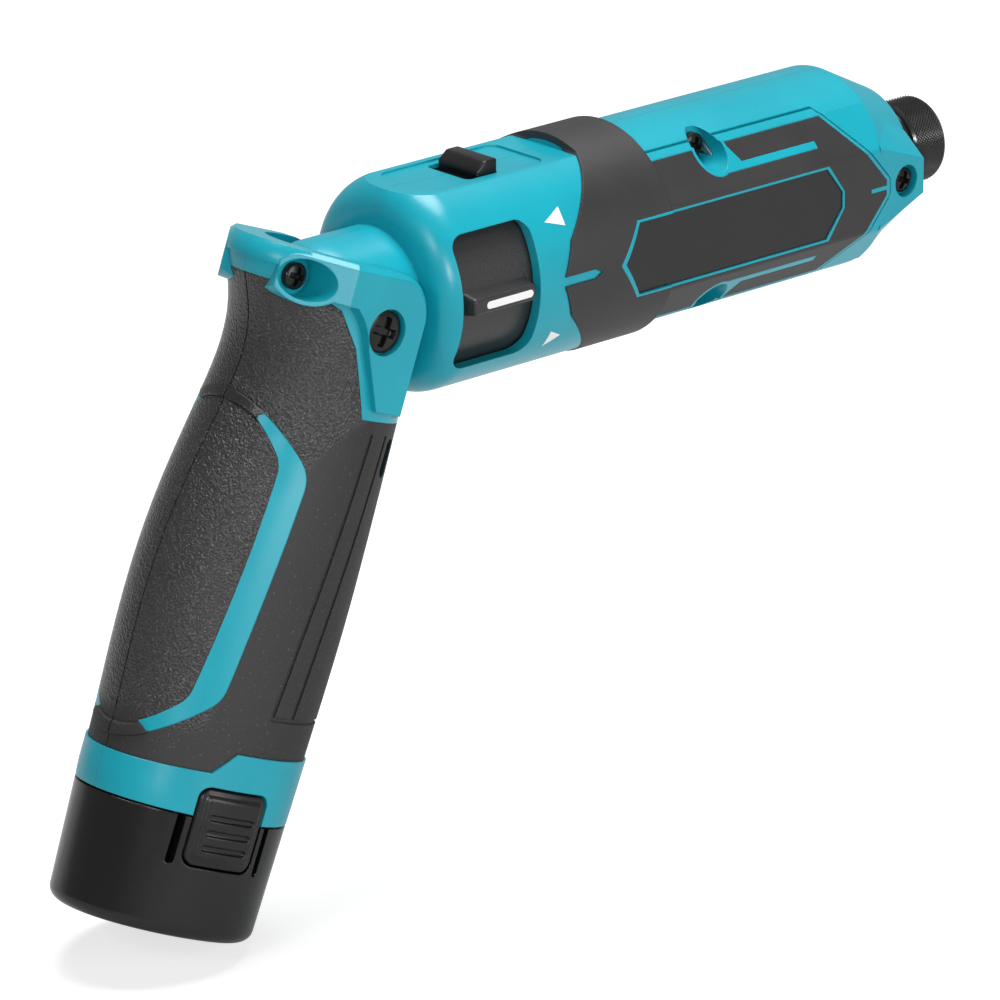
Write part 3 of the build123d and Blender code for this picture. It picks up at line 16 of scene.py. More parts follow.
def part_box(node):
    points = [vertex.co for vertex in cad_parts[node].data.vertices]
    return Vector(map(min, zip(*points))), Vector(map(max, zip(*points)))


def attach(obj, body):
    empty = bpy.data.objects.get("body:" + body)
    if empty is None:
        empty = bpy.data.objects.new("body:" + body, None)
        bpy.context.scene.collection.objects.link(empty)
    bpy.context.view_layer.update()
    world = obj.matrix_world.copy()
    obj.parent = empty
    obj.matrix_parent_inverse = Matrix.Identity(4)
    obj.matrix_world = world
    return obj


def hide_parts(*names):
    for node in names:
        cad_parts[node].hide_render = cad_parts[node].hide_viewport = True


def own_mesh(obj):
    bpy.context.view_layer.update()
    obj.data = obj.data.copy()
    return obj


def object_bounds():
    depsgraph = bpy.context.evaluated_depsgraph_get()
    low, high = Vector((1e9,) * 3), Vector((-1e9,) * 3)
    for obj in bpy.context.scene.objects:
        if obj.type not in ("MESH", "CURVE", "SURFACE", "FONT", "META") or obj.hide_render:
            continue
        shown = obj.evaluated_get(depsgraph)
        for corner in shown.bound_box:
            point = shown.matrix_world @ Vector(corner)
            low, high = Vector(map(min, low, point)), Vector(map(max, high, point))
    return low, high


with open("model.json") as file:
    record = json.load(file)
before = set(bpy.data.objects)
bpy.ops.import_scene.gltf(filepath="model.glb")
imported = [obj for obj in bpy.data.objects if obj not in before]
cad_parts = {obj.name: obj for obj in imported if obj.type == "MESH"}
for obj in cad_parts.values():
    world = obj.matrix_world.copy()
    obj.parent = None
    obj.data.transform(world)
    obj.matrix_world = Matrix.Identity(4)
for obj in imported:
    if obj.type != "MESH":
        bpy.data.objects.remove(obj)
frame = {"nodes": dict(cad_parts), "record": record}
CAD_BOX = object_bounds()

LOG = logging.getLogger("driver")
MM = 0.001
FULL_TURN = 2.0 * math.pi
SHARP_ANGLE = math.radians(32.0)
EDGE_SAMPLES = 4
NOISE_MIDDLE = 0.5

# The places of the colours and of the result among the Mix node's sockets
MIX_FIRST, MIX_SECOND, MIX_RESULT = 6, 7, 2

Colour = tuple[float, float, float]
Number = Union[int, float]
Mesh = bmesh.types.BMesh
Ring = list[bmesh.types.BMVert]
Piece = bpy.types.Object

JOINTS = {joint["name"]: joint for joint in frame["record"]["behaviour"]["joints"]}

# The handle's own directions, from the hinge: down to the battery and forward to the finger side
PIVOT = Vector(JOINTS["fold_hinge"]["pos_m"])
BEND = math.radians(JOINTS["fold_hinge"]["range_deg"][1])
HANDLE_DOWN = Vector((-math.cos(BEND), 0.0, -math.sin(BEND)))
HANDLE_FRONT = Vector((math.sin(BEND), 0.0, -math.cos(BEND)))
RIGHT = Vector((0.0, -1.0, 0.0))
LEFT = Vector((0.0, 1.0, 0.0))


def clamp(value: float) -> float:
    """Holds a value between 0 and 1."""
    return min(max(value, 0.0), 1.0)


def circle(count: int) -> Iterator[tuple[float, float]]:
    """Goes once round a circle in even steps.

    Args:
        count: how many steps.

    Yields:
        The cosine and the sine of each step's angle.
    """
    for step in range(count):
        angle = FULL_TURN * step / count
        yield math.cos(angle), math.sin(angle)


def bridge_rings(mesh: Mesh, rings: list[Ring]) -> None:
    """Joins neighbouring closed rings of the same count with quads.

    Args:
        mesh: the mesh that they are in.
        rings: the rings in order.
    """
    for first, second in zip(rings, rings[1:]):
        count = len(first)
        for index in range(count):
            after = (index + 1) % count
            mesh.faces.new((first[index], first[after], second[after], second[index]))


class Socket:
    """A shader output that takes part in Python arithmetic; each operation adds a Math node."""

    def __init__(self, graph: "Graph", socket: bpy.types.NodeSocket) -> None:
        """Wraps one output socket of a graph."""
        self.graph = graph
        self.socket = socket

    def math(self, operation: str, *others: Union["Socket", Number]) -> "Socket":
        """Adds one Math node with this value as its first input.

        Args:
            operation: the Math node's operation.
            others: the values or sockets of its other inputs.

        Returns:
            The node's result.
        """
        values = {index + 1: other for index, other in enumerate(others)}
        node = self.graph.node("ShaderNodeMath", {"operation": operation}, {0: self, **values})
        return self.graph.out(node)

    def __add__(self, other: Union["Socket", Number]) -> "Socket":
        """Sum of two values."""
        return self.math("ADD", other)

    __radd__ = __add__

    def __mul__(self, other: Union["Socket", Number]) -> "Socket":
        """Product of two values."""
        return self.math("MULTIPLY", other)

    __rmul__ = __mul__

    def __sub__(self, other: Union["Socket", Number]) -> "Socket":
        """Difference of two values."""
        return self.math("SUBTRACT", other)

    def __rsub__(self, other: Number) -> "Socket":
        """A number less this value."""
        return self.math("MULTIPLY", -1.0) + other

    def step(self, low: float, high: float) -> "Socket":
        """Smooth rise from 0 at low to 1 at high.

        Args:
            low: the value at which the rise starts.
            high: the value at which it ends.

        Returns:
            The eased value, from 0 to 1.
        """
        node = self.graph.node(
            "ShaderNodeMapRange",
            {"interpolation_type": "SMOOTHSTEP"},
            {"Value": self, "From Min": low, "From Max": high},
        )
        return self.graph.out(node)

    def band(self, low: float, high: float, ease: float) -> "Socket":
        """1 between two values and 0 outside them, with each end eased to both sides."""
        return self.step(low - ease, low + ease) * (1.0 - self.step(high - ease, high + ease))


class Graph:
    """The node tree of one material or of the world, built node by node."""

    def __init__(self, owner: Union[bpy.types.Material, bpy.types.World]) -> None:
        """Empties the node tree of a material or world.

        Args:
            owner: the material or world.
        """
        self.owner = owner
        owner.use_nodes = True
        self.tree = owner.node_tree
        self.tree.nodes.clear()
        self.place = self.out(self.node("ShaderNodeTexCoord", {}, {}), "Object")

    def node(self, kind: str, settings: dict, inputs: dict) -> bpy.types.Node:
        """Adds one node.

        Args:
            kind: the node's type.
            settings: attributes that are set first.
            inputs: values or links by socket name or index.

        Returns:
            The new node.
        """
        node = self.tree.nodes.new(kind)
        for key, value in settings.items():
            setattr(node, key, value)
        for key, value in inputs.items():
            target = node.inputs[key]
            if isinstance(value, Socket):
                self.tree.links.new(value.socket, target)
            elif target.type == "RGBA":
                target.default_value = (*value, 1.0)
            else:
                target.default_value = value
        return node

    def out(self, node: bpy.types.Node, name: Union[str, int] = 0) -> Socket:
        """Wraps one output of a node, by its name or index."""
        return Socket(self, node.outputs[name])

    def noise(self, size_mm: float, detail: float) -> Socket:
        """Noise in the object's own space.

        Args:
            size_mm: the width of one blotch.
            detail: how many finer layers are added.

        Returns:
            A value around a half.
        """
        node = self.node(
            "ShaderNodeTexNoise",
            {"noise_dimensions": "3D"},
            {"Vector": self.place, "Scale": 1.0 / (size_mm * MM), "Detail": detail},
        )
        return self.out(node, "Fac")

    def cells(self, size_mm: float, smoothness: float) -> Socket:
        """Distance to the nearest point of a scattered set, for pebbled grain.

        Args:
            size_mm: the width of one cell.
            smoothness: how far neighbouring cells run into each other.

        Returns:
            The distance as a share of a cell.
        """
        node = self.node(
            "ShaderNodeTexVoronoi",
            {"feature": "SMOOTH_F1"},
            {"Vector": self.place, "Scale": 1.0 / (size_mm * MM), "Smoothness": smoothness},
        )
        return self.out(node, "Distance")

    def along(self, origin: Vector, direction: Vector) -> Socket:
        """Distance from a point along a direction.

        Args:
            origin: the point, in metres.
            direction: the direction, of length 1.

        Returns:
            The distance in millimetres.
        """
        away = self.node(
            "ShaderNodeVectorMath", {"operation": "SUBTRACT"}, {0: self.place, 1: tuple(origin)}
        )
        reach = self.node(
            "ShaderNodeVectorMath",
            {"operation": "DOT_PRODUCT"},
            {0: self.out(away), 1: tuple(direction / MM)},
        )
        return self.out(reach, "Value")

    def blend(
        self, mask: Socket, first: Union[Colour, Socket], second: Union[Colour, Socket]
    ) -> Socket:
        """Mixes two colours by a mask.

        Args:
            mask: 0 gives the first colour and 1 the second.
            first: a colour or socket.
            second: a colour or socket.

        Returns:
            The mixed colour.
        """
        inputs = {"Factor": mask, MIX_FIRST: first, MIX_SECOND: second}
        return self.out(self.node("ShaderNodeMix", {"data_type": "RGBA"}, inputs), MIX_RESULT)

    def rounded(self, radius_mm: float) -> Socket:
        """Surface normal with edges softened over a radius."""
        return self.out(self.node("ShaderNodeBevel", {"samples": EDGE_SAMPLES}, {"Radius": radius_mm * MM}))

    def bump(self, height: Socket, depth_mm: float, normal: Socket) -> Socket:
        """Normal that follows a height.

        Args:
            height: the height, from 0 to 1.
            depth_mm: how deep a height of 1 stands.
            normal: the normal that it starts from.

        Returns:
            The bumped normal.
        """
        node = self.node(
            "ShaderNodeBump",
            {},
            {"Height": height, "Distance": depth_mm * MM, "Strength": 1.0, "Normal": normal},
        )
        return self.out(node)

    def rays(self) -> tuple[Socket, Socket]:
        """Tells apart what the camera sees and what shows in gloss or glass.

        Returns:
            1 for rays from the camera, and 1 for mirrored or passed rays.
        """
        path = self.node("ShaderNodeLightPath", {}, {})
        mirrored = self.out(path, "Is Glossy Ray") + self.out(path, "Is Transmission Ray")
        return self.out(path, "Is Camera Ray"), mirrored

    def surface(self, inputs: dict) -> bpy.types.Material:
        """Closes the tree with one Principled shader.

        Args:
            inputs: the shader's values or links by socket name.

        Returns:
            The finished material.
        """
        shader = self.node("ShaderNodeBsdfPrincipled", {}, inputs)
        self.node("ShaderNodeOutputMaterial", {}, {"Surface": self.out(shader)})
        return self.owner


@dataclass(frozen=True)
class Finish:
    """A moulded or machined finish: a colour that drifts a little, a roughness and a fine grain."""

    name: str
    colour: Colour
    roughness: float
    drift: float = 0.12
    drift_mm: float = 14.0
    drift_detail: float = 3.0
    drift_range: tuple[float, float] = (0.3, 0.7)
    grain_mm: float = 0.35
    grain_detail: float = 1.0
    grain_depth_mm: float = 0.02
    metallic: float = 0.0
    coat: float = 0.0
    edge_mm: float = 0.35
    rough_spread: float = 0.08
    rough_drift: float = 0.06
    specular: float = 0.5

    def tone(self, graph: Graph, patch: Socket) -> Socket:
        """Lets the colour drift between a darker and a lighter version.

        Args:
            graph: the material's graph.
            patch: the noise that it drifts with.

        Returns:
            The drifting colour.
        """
        dark = tuple(channel * (1.0 - self.drift) for channel in self.colour)
        light = tuple(channel * (1.0 + self.drift) for channel in self.colour)
        return graph.blend(patch.step(*self.drift_range), dark, light)

    def material(self) -> bpy.types.Material:
        """Builds the finish as a material.

        Returns:
            The material.
        """
        graph = Graph(bpy.data.materials.new(self.name))
        patch = graph.noise(self.drift_mm, self.drift_detail)
        fine = graph.noise(self.grain_mm, self.grain_detail)
        spread = (fine - NOISE_MIDDLE) * self.rough_spread
        drift = (patch - NOISE_MIDDLE) * self.rough_drift
        return graph.surface(
            {
                "Base Color": self.tone(graph, patch),
                "Roughness": spread + drift + self.roughness,
                "Metallic": self.metallic,
                "Coat Weight": self.coat,
                "Specular IOR Level": self.specular,
                "Normal": graph.bump(fine, self.grain_depth_mm, graph.rounded(self.edge_mm)),
            }
        )


@dataclass(frozen=True)
class GripRubber(Finish):
    """Soft overmould with a pebbled pad and neck, a smoother front and two smooth strips.

    Places on the grip are in millimetres from the hinge, down the handle and towards its front.
    """

    pebble_mm: float = 0.55
    pebble_depth_mm: float = 0.42
    pebble_share: float = 0.6
    pebble_smoothness: float = 0.6
    wrinkle_size: float = 0.7
    wrinkle_detail: float = 2.0
    front_pebble: float = 0.08
    grain_share: float = 0.12
    pad_roughness: float = 0.17
    pad_colour: Colour = (0.016, 0.0157, 0.016)
    pad_top_mm: float = 29.0
    pad_front_mm: float = -8.0
    pad_lean: float = 0.124
    pad_fade_mm: tuple[float, float] = (-3.5, 0.5)
    pad_end_mm: tuple[float, float] = (78.0, 84.0)
    neck_end_mm: tuple[float, float] = (12.0, 30.0)
    neck_push_mm: float = 12.0
    speck_mm: float = 0.45
    speck_detail: float = 0.0
    speck_range: tuple[float, float] = (0.74, 0.80)
    speck_share: float = 0.2
    speck_colour: Colour = (0.20, 0.20, 0.20)
    strip_mm: float = 2.25
    strip_edge_mm: float = 0.22
    strip_smoothing: float = 0.9
    strip_starts: tuple[tuple[float, float, float], ...] = ((20.2, -16.4, 1.12), (81.8, -22.9, -1.0))
    # Painted shade: near-black colour for the grooves along the strips' edges
    line_colour: Colour = (0.001, 0.001, 0.001)
    line_depth: float = 0.4

    def pad_mask(self, down: Socket, reach: Socket) -> Socket:
        """Finds the palm pad and the neck of the grip.

        Args:
            down: the place down the handle.
            reach: the place towards its front.

        Returns:
            1 on the pad and the neck, 0 on the smoother front.
        """
        edge = (down - self.pad_top_mm) * -self.pad_lean + self.pad_front_mm
        neck = 1.0 - down.step(*self.neck_end_mm)
        front = (reach - edge - neck * self.neck_push_mm).step(*self.pad_fade_mm)
        return (1.0 - front) * (1.0 - down.step(*self.pad_end_mm))

    def strip_masks(self, down: Socket, reach: Socket) -> tuple[Socket, Socket]:
        """Finds the two smooth strips that run round the back from the ends of the bare stripe.

        Args:
            down: the place down the handle.
            reach: the place towards its front.

        Returns:
            1 on the strips, and 1 on a narrow groove along their edges, which is also painted dark as
            shade.
        """
        edge = self.strip_edge_mm
        strips, lines = [], []
        for station, start, lean in self.strip_starts:
            depth = down - station - (reach - start) * lean
            behind = 1.0 - (reach - start).step(-edge, edge)
            inside = depth.band(0.0, self.strip_mm, edge)
            outside = depth.band(-edge, self.strip_mm + edge, edge)
            strips.append(inside * behind)
            lines.append((outside - inside).math("MAXIMUM", 0.0) * behind)
        return strips[0] + strips[1], lines[0] + lines[1]

    def material(self) -> bpy.types.Material:
        """Builds the rubber as a material.

        Returns:
            The material.
        """
        graph = Graph(bpy.data.materials.new(self.name))
        down = graph.along(PIVOT, HANDLE_DOWN)
        reach = graph.along(PIVOT, HANDLE_FRONT)
        pad = self.pad_mask(down, reach)
        strip, line = self.strip_masks(down, reach)
        fine = graph.noise(self.grain_mm, self.grain_detail)
        cells = graph.cells(self.pebble_mm, self.pebble_smoothness)
        wrinkles = graph.noise(self.pebble_mm * self.wrinkle_size, self.wrinkle_detail)
        pebble = (cells + wrinkles) * self.pebble_share
        relief = pebble * (pad * (1.0 - self.front_pebble) + self.front_pebble)
        height = relief * (1.0 - strip * self.strip_smoothing) + fine * self.grain_share
        specks = graph.noise(self.speck_mm, self.speck_detail).step(*self.speck_range)
        tone = self.tone(graph, graph.noise(self.drift_mm, self.drift_detail))
        tone = graph.blend(pad, tone, self.pad_colour)
        # Painted shade: the grooves along the strips' edges are darkened as well as cut in by the bump
        tone = graph.blend(line, tone, self.line_colour)
        tone = graph.blend(specks * self.speck_share, tone, self.speck_colour)
        gloss = pad * (self.pad_roughness - self.roughness) + self.roughness
        normal = graph.rounded(self.edge_mm)
        return graph.surface(
            {
                "Base Color": tone,
                "Roughness": gloss + (fine - NOISE_MIDDLE) * self.rough_spread,
                "Specular IOR Level": self.specular,
                "Normal": graph.bump(height - line * self.line_depth, self.pebble_depth_mm, normal),
            }
        )


TEAL = Finish(
    "teal_moulding", (0.004, 0.330, 0.420), 0.30, drift=0.04, grain_depth_mm=0.006, specular=0.45
)
GRIP = GripRubber(
    "grip_rubber", (0.007, 0.0065, 0.007), 0.60, grain_mm=0.3, grain_detail=2.0, specular=0.60
)
BARREL = Finish("barrel_rubber", (0.021, 0.020, 0.021), 0.50, grain_depth_mm=0.03)
PLATE = Finish("plate_film", (0.007, 0.007, 0.008), 0.30, grain_depth_mm=0.003)
SCREW = Finish(
    "screw_black", (0.010, 0.010, 0.010), 0.24, metallic=0.2, coat=0.1, edge_mm=0.12, specular=0.3
)
DRUM = Finish("drum_moulding", (0.024, 0.024, 0.025), 0.30, grain_mm=0.4, grain_depth_mm=0.06)
SATIN = Finish(
    "black_moulding", (0.007, 0.007, 0.0075), 0.30, grain_mm=0.4, grain_depth_mm=0.012, specular=0.36
)
PACK = Finish(
    "battery_moulding", (0.004, 0.004, 0.0045), 0.19, grain_mm=0.25, grain_depth_mm=0.004, specular=0.45
)
WRAP = Finish("cell_wrap", (0.05, 0.16, 0.08), 0.3)
CAST = Finish("cast_aluminium", (0.60, 0.60, 0.61), 0.45, metallic=1.0, grain_mm=0.6)
BRONZE = Finish("sintered_bronze", (0.55, 0.36, 0.15), 0.40, metallic=1.0)
STEEL = Finish("ground_steel", (0.50, 0.50, 0.51), 0.30, metallic=1.0)
PHOSPHATE = Finish(
    "black_phosphate", (0.085, 0.083, 0.082), 0.22, metallic=0.9, edge_mm=0.03, grain_depth_mm=0.002
)
ZINC = Finish("zinc_plate", (0.45, 0.46, 0.47), 0.35, metallic=1.0)
FERRITE = Finish("ferrite", (0.06, 0.06, 0.065), 0.6)
CARBON = Finish("carbon", (0.03, 0.03, 0.03), 0.7)
WHITE = Finish("white_paint", (0.86, 0.86, 0.86), 0.45, drift=0.02, edge_mm=0.05, grain_depth_mm=0.004)


class Slot(Enum):
    """The record's material slots with the finish that each one wears."""

    teal_plastic = TEAL
    black_rubber = GRIP
    plate_black = PLATE
    screw_black = SCREW
    black_plastic = SATIN
    battery_plastic = PACK
    cell_wrap = WRAP
    cast_aluminium = CAST
    bronze = BRONZE
    steel = STEEL
    dark_steel = PHOSPHATE
    zinc_steel = ZINC
    magnet = FERRITE
    carbon = CARBON


OWN_FINISH: dict[str, Finish] = {
    "barrel_rubber_right": BARREL,
    "barrel_rubber_left": BARREL,
    "trigger_drum": DRUM,
}


class Wardrobe:
    """Makes each finish's material once, dresses the CAD nodes and adds dressed pieces."""

    def __init__(self) -> None:
        """Starts with no materials."""
        self.made: dict[str, bpy.types.Material] = {}

    def wear(self, piece: Piece, finish: Finish) -> None:
        """Puts one finish all over a piece.

        Args:
            piece: the piece.
            finish: the finish, whose material is made at its first use.
        """
        if finish.name not in self.made:
            self.made[finish.name] = finish.material()
        piece.data.materials.clear()
        piece.data.materials.append(self.made[finish.name])

    def dress_frame(self) -> None:
        """Dresses every CAD node in its own finish, or else by its slot in the record."""
        for entry in frame["record"]["subparts"]:
            finish = OWN_FINISH.get(entry["node"], Slot[entry["material_slot"]].value)
            self.wear(frame["nodes"][entry["node"]], finish)
            LOG.info("dressed %s", entry["node"])

    def add(
        self,
        name: str,
        mesh: Mesh,
        body: str,
        slot: Slot,
        finish: Optional[Finish] = None,
        smooth: bool = True,
    ) -> Piece:
        """Turns a bmesh into a dressed piece that rides on a body.

        Args:
            name: the piece's name.
            mesh: its shape in the frame; it is freed.
            body: the CAD body that it rides on.
            slot: the record's material slot.
            finish: its finish, where that isn't the slot's own.
            smooth: whether its faces are shaded smooth.

        Returns:
            The new piece.
        """
        data = bpy.data.meshes.new(name)
        bmesh.ops.recalc_face_normals(mesh, faces=mesh.faces)
        for face in mesh.faces:
            face.smooth = smooth
        mesh.to_mesh(data)
        mesh.free()
        if smooth:
            data.set_sharp_from_angle(angle=SHARP_ANGLE)
        piece = bpy.data.objects.new(name, data)
        bpy.context.scene.collection.objects.link(piece)
        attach(piece, body)
        self.wear(piece, finish or slot.value)
        LOG.info("built %s", name)
        return piece


@dataclass
class ImpactSpring:
    """The hammer's spring, a coil that rides on the spindle."""

    turns: int = 4
    wire_radius: float = 0.9 * MM
    steps_per_turn: int = 48
    sides: int = 14

    def wire(self, mesh: Mesh, low: Vector, high: Vector) -> list[Ring]:
        """Sweeps the round wire along its helix.

        Args:
            mesh: where the vertices go.
            low: the lowest corner of the CAD coil's box.
            high: its highest corner.

        Returns:
            One ring of vertices for each step along the wire.
        """
        mean = (high[1] - low[1]) / 2.0 - self.wire_radius
        length = high[0] - low[0] - 2.0 * self.wire_radius
        pitch = Vector((length, 0.0, 0.0)) / (FULL_TURN * self.turns)
        steps = self.turns * self.steps_per_turn
        rings = []
        for step in range(steps + 1):
            angle = FULL_TURN * step / self.steps_per_turn
            outward = Vector((0.0, math.cos(angle), math.sin(angle)))
            onward = Vector((0.0, -math.sin(angle), math.cos(angle)))
            along = low[0] + self.wire_radius + length * step / steps
            centre = outward * mean + Vector((along, 0.0, 0.0))
            across = (pitch + onward * mean).normalized().cross(outward)
            ring = []
            for cos, sin in circle(self.sides):
                ring.append(mesh.verts.new(centre + (outward * cos + across * sin) * self.wire_radius))
            rings.append(ring)
        return rings

    def build(self, wardrobe: Wardrobe) -> None:
        """Builds the spring in the place of its CAD node.

        Args:
            wardrobe: where its finish comes from.
        """
        low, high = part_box("hammer_spring")
        mesh = bmesh.new()
        rings = self.wire(mesh, low, high)
        bridge_rings(mesh, rings)
        mesh.faces.new(rings[0])
        mesh.faces.new(rings[-1])
        piece = wardrobe.add("impact_spring", mesh, "spindle", Slot.steel)
        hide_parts("hammer_spring")
        keep = 1.0 - JOINTS["hammer_slide"]["range_m"][1] / (high[0] - low[0])
        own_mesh(piece)


@dataclass
class BitSleeve:
    """The quick-change sleeve with a diamond knurl cut into its band."""

    teeth: int = 72
    facets_per_tooth: int = 4
    knurl_depth: float = 0.42 * MM
    chamfer: float = 0.45 * MM
    flange_length: float = 3.7 * MM
    flange_taper: float = 0.4 * MM
    groove_length: float = 2.2 * MM
    groove_drop: float = 1.0 * MM
    groove_slope: float = 0.3 * MM
    bore: float = 7.6 * MM
    bore_depth: float = 8.0 * MM

    def knurl(self, column: int, row: int) -> float:
        """Depth of the crossed cuts at a grid place on the band.

        Args:
            column: the place round the band.
            row: the place along it.

        Returns:
            The depth, from 0 to 1.
        """
        depths = []
        for place in (column + row, column - row):
            phase = (place / self.facets_per_tooth) % 1.0
            depths.append(abs(phase - 0.5) * 2.0)
        return max(depths)

    def build(self, wardrobe: Wardrobe) -> None:
        """Builds the sleeve in the place of its CAD node.

        Args:
            wardrobe: where its finish comes from.
        """
        low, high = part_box("bit_sleeve")
        rear, front = low[0], high[0]
        outer = (high[1] - low[1]) / 2.0
        groove = outer - self.groove_drop
        flange_end = rear + self.flange_length
        band_rear = flange_end + self.groove_length
        columns = self.teeth * self.facets_per_tooth
        profile = [
            (rear, self.bore, 0.0),
            (rear, outer - self.flange_taper, 0.0),
            (flange_end, outer, 0.0),
            (flange_end + self.groove_slope, groove, 0.0),
            (band_rear - self.groove_slope, groove, 0.0),
            (band_rear, outer - self.chamfer, 0.0),
            (band_rear + self.chamfer, outer, 0.0),
        ]
        band = front - band_rear - 2.0 * self.chamfer
        rows = round(band * columns / (FULL_TURN * outer))
        first = len(profile)
        for row in range(rows + 1):
            profile.append((band_rear + self.chamfer + band * row / rows, outer, 1.0))
        profile += [
            (front, outer - self.chamfer, 0.0),
            (front, self.bore, 0.0),
            (front - self.bore_depth, self.bore, 0.0),
        ]
        mesh = bmesh.new()
        rings = []
        for place, (along, radius, cut) in enumerate(profile):
            ring = []
            for column, (cos, sin) in enumerate(circle(columns)):
                reach = radius - self.knurl_depth * cut * self.knurl(column, place - first)
                ring.append(mesh.verts.new((along, reach * cos, reach * sin)))
            rings.append(ring)
        rings.append(rings[0])
        bridge_rings(mesh, rings)
        sleeve = wardrobe.add("knurled_sleeve", mesh, "sleeve", Slot.dark_steel, smooth=False)
        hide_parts("bit_sleeve")


class Layout(Enum):
    """How the heads of one CAD node of screws are set out."""

    one = "one head on the right side"
    stacked = "two heads on the right side, one above the other"
    both_sides = "one head on each side"


@dataclass
class CrossScrews:
    """Pan head screws with a cross recess, in the place of one CAD node of screws.

    The recess and the crown are shares of the head's radius and height.
    """

    node: str
    body: str
    layout: Layout
    length: float
    radius: float = 2.6 * MM
    height: float = 1.9 * MM
    shank: float = 1.5 * MM
    rings: int = 36
    columns: int = 120
    turn: float = 0.35
    cross_depth: float = 0.85
    cross_reach: float = 0.66
    cross_width: float = 0.15
    cross_wall: float = 0.05
    cross_end: float = 0.12
    crown_rim: float = 0.55
    crown_width: float = 0.96
    crown_power: float = 2.2

    def seats(self) -> list[tuple[Vector, Vector]]:
        """Finds the heads in the CAD node's box.

        Returns:
            The point under each head on its axis, and the way that the head faces.
        """
        low, high = (Vector(corner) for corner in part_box(self.node))
        middle = (low + high) / 2.0
        right_seat, left_seat = low.y + self.height, high.y - self.height
        if self.layout is Layout.stacked:
            levels = (high.z - self.radius, low.z + self.radius)
            return [(Vector((middle.x, right_seat, level)), RIGHT) for level in levels]
        seats = [(Vector((middle.x, right_seat, middle.z)), RIGHT)]
        if self.layout is Layout.both_sides:
            seats.append((Vector((middle.x, left_seat, middle.z)), LEFT))
        return seats

    def recess(self, x: float, y: float) -> float:
        """How far the cross is sunk at a place on the head.

        Args:
            x: the place across the head, as a share of its radius.
            y: the place the other way across.

        Returns:
            The depth, from 0 to 1.
        """
        spin_x = abs(x * math.cos(self.turn) + y * math.sin(self.turn))
        spin_y = abs(y * math.cos(self.turn) - x * math.sin(self.turn))
        depth = 0.0
        for long, wide in ((spin_x, spin_y), (spin_y, spin_x)):
            side = clamp((self.cross_width - wide) / self.cross_wall + 1.0)
            end = clamp((self.cross_reach - long) / self.cross_end + 0.5)
            depth = max(depth, side * end)
        return depth

    def crown(self, share: float) -> float:
        """Height of the domed head above its seat at a share of its radius, from 0 to 1."""
        dome = math.sqrt(max(1.0 - (share * self.crown_width) ** self.crown_power, 0.0))
        return self.crown_rim + (1.0 - self.crown_rim) * dome

    def head(self, mesh: Mesh, seat: Vector, out: Vector) -> None:
        """Adds one head and its shank.

        Args:
            mesh: the mesh that they go into.
            seat: the point under the head on the screw's axis.
            out: the way the head faces.
        """
        across = out.orthogonal().normalized()
        other = out.cross(across)
        rows = []
        for step in range(1, self.rings + 1):
            share = step / self.rings
            row = []
            for cos, sin in circle(self.columns):
                rise = self.crown(share) - self.cross_depth * self.recess(share * cos, share * sin)
                spot = (across * cos + other * sin) * share * self.radius
                row.append(mesh.verts.new(seat + spot + out * rise * self.height))
            rows.append(row)
        for radius, rise in ((self.radius, 0.0), (self.shank, 0.0), (self.shank, -self.length)):
            row = []
            for cos, sin in circle(self.columns):
                row.append(mesh.verts.new(seat + (across * cos + other * sin) * radius + out * rise))
            rows.append(row)
        bridge_rings(mesh, rows)
        middle = mesh.verts.new(seat + out * self.height * (self.crown(0.0) - self.cross_depth))
        first = rows[0]
        for column in range(self.columns):
            mesh.faces.new((first[column], middle, first[(column + 1) % self.columns]))
        mesh.faces.new(rows[-1])

    def build(self, wardrobe: Wardrobe) -> None:
        """Builds the screws, as one piece, in the place of their node.

        Args:
            wardrobe: where their finish comes from.
        """
        mesh = bmesh.new()
        for seat, out in self.seats():
            self.head(mesh, seat, out)
        screws = wardrobe.add(f"{self.node}_cross", mesh, self.body, Slot.screw_black)
        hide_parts(self.node)


@dataclass
class LockKnob:
    """The lock-off slider: a flat plate under the housing's top and a finger ridge with a sloping back."""

    length: float = 5.2 * MM
    half_width: float = 5.7 * MM
    slope_drop: float = 1.7 * MM
    slope_run: float = 2.1 * MM
    ridge_rounding: float = 0.45 * MM
    plate: float = 0.8 * MM
    plate_rounding: float = 0.2 * MM
    rounding_steps: int = 4

    def prism(
        self, mesh: Mesh, outline: list[tuple[float, float]], half_width: float, rounding: float
    ) -> None:
        """Adds one prism across the tool, with its edges rounded.

        Args:
            mesh: the mesh that it goes into.
            outline: its corners, along the tool and up.
            half_width: how far it reaches to each side.
            rounding: the radius of its edges.
        """
        ends = []
        for side in (-half_width, half_width):
            ends.append([mesh.verts.new((x, side, z)) for x, z in outline])
        bridge_rings(mesh, ends)
        for end in ends:
            mesh.faces.new(end)
        edges = {edge for end in ends for corner in end for edge in corner.link_edges}
        bmesh.ops.bevel(
            mesh,
            geom=list(edges),
            offset=rounding,
            segments=self.rounding_steps,
            profile=0.5,
            affect="EDGES",
            clamp_overlap=True,
        )

    def build(self, wardrobe: Wardrobe) -> None:
        """Builds the slider in the place of its CAD node.

        Args:
            wardrobe: where its finish comes from.
        """
        low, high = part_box("lock_slider")
        floor, top = low[2], high[2]
        rear = (low[0] + high[0] - self.length) / 2.0
        front = rear + self.length
        ridge = [
            (rear, floor),
            (rear, top - self.slope_drop),
            (rear + self.slope_run, top),
            (front, top),
            (front, floor),
        ]
        roof = floor + self.plate
        plate = [(low[0], floor), (low[0], roof), (high[0], roof), (high[0], floor)]
        mesh = bmesh.new()
        self.prism(mesh, ridge, self.half_width, self.ridge_rounding)
        self.prism(mesh, plate, high[1], self.plate_rounding)
        slider = wardrobe.add("lock_knob", mesh, "lock", Slot.black_plastic)
        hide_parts("lock_slider")


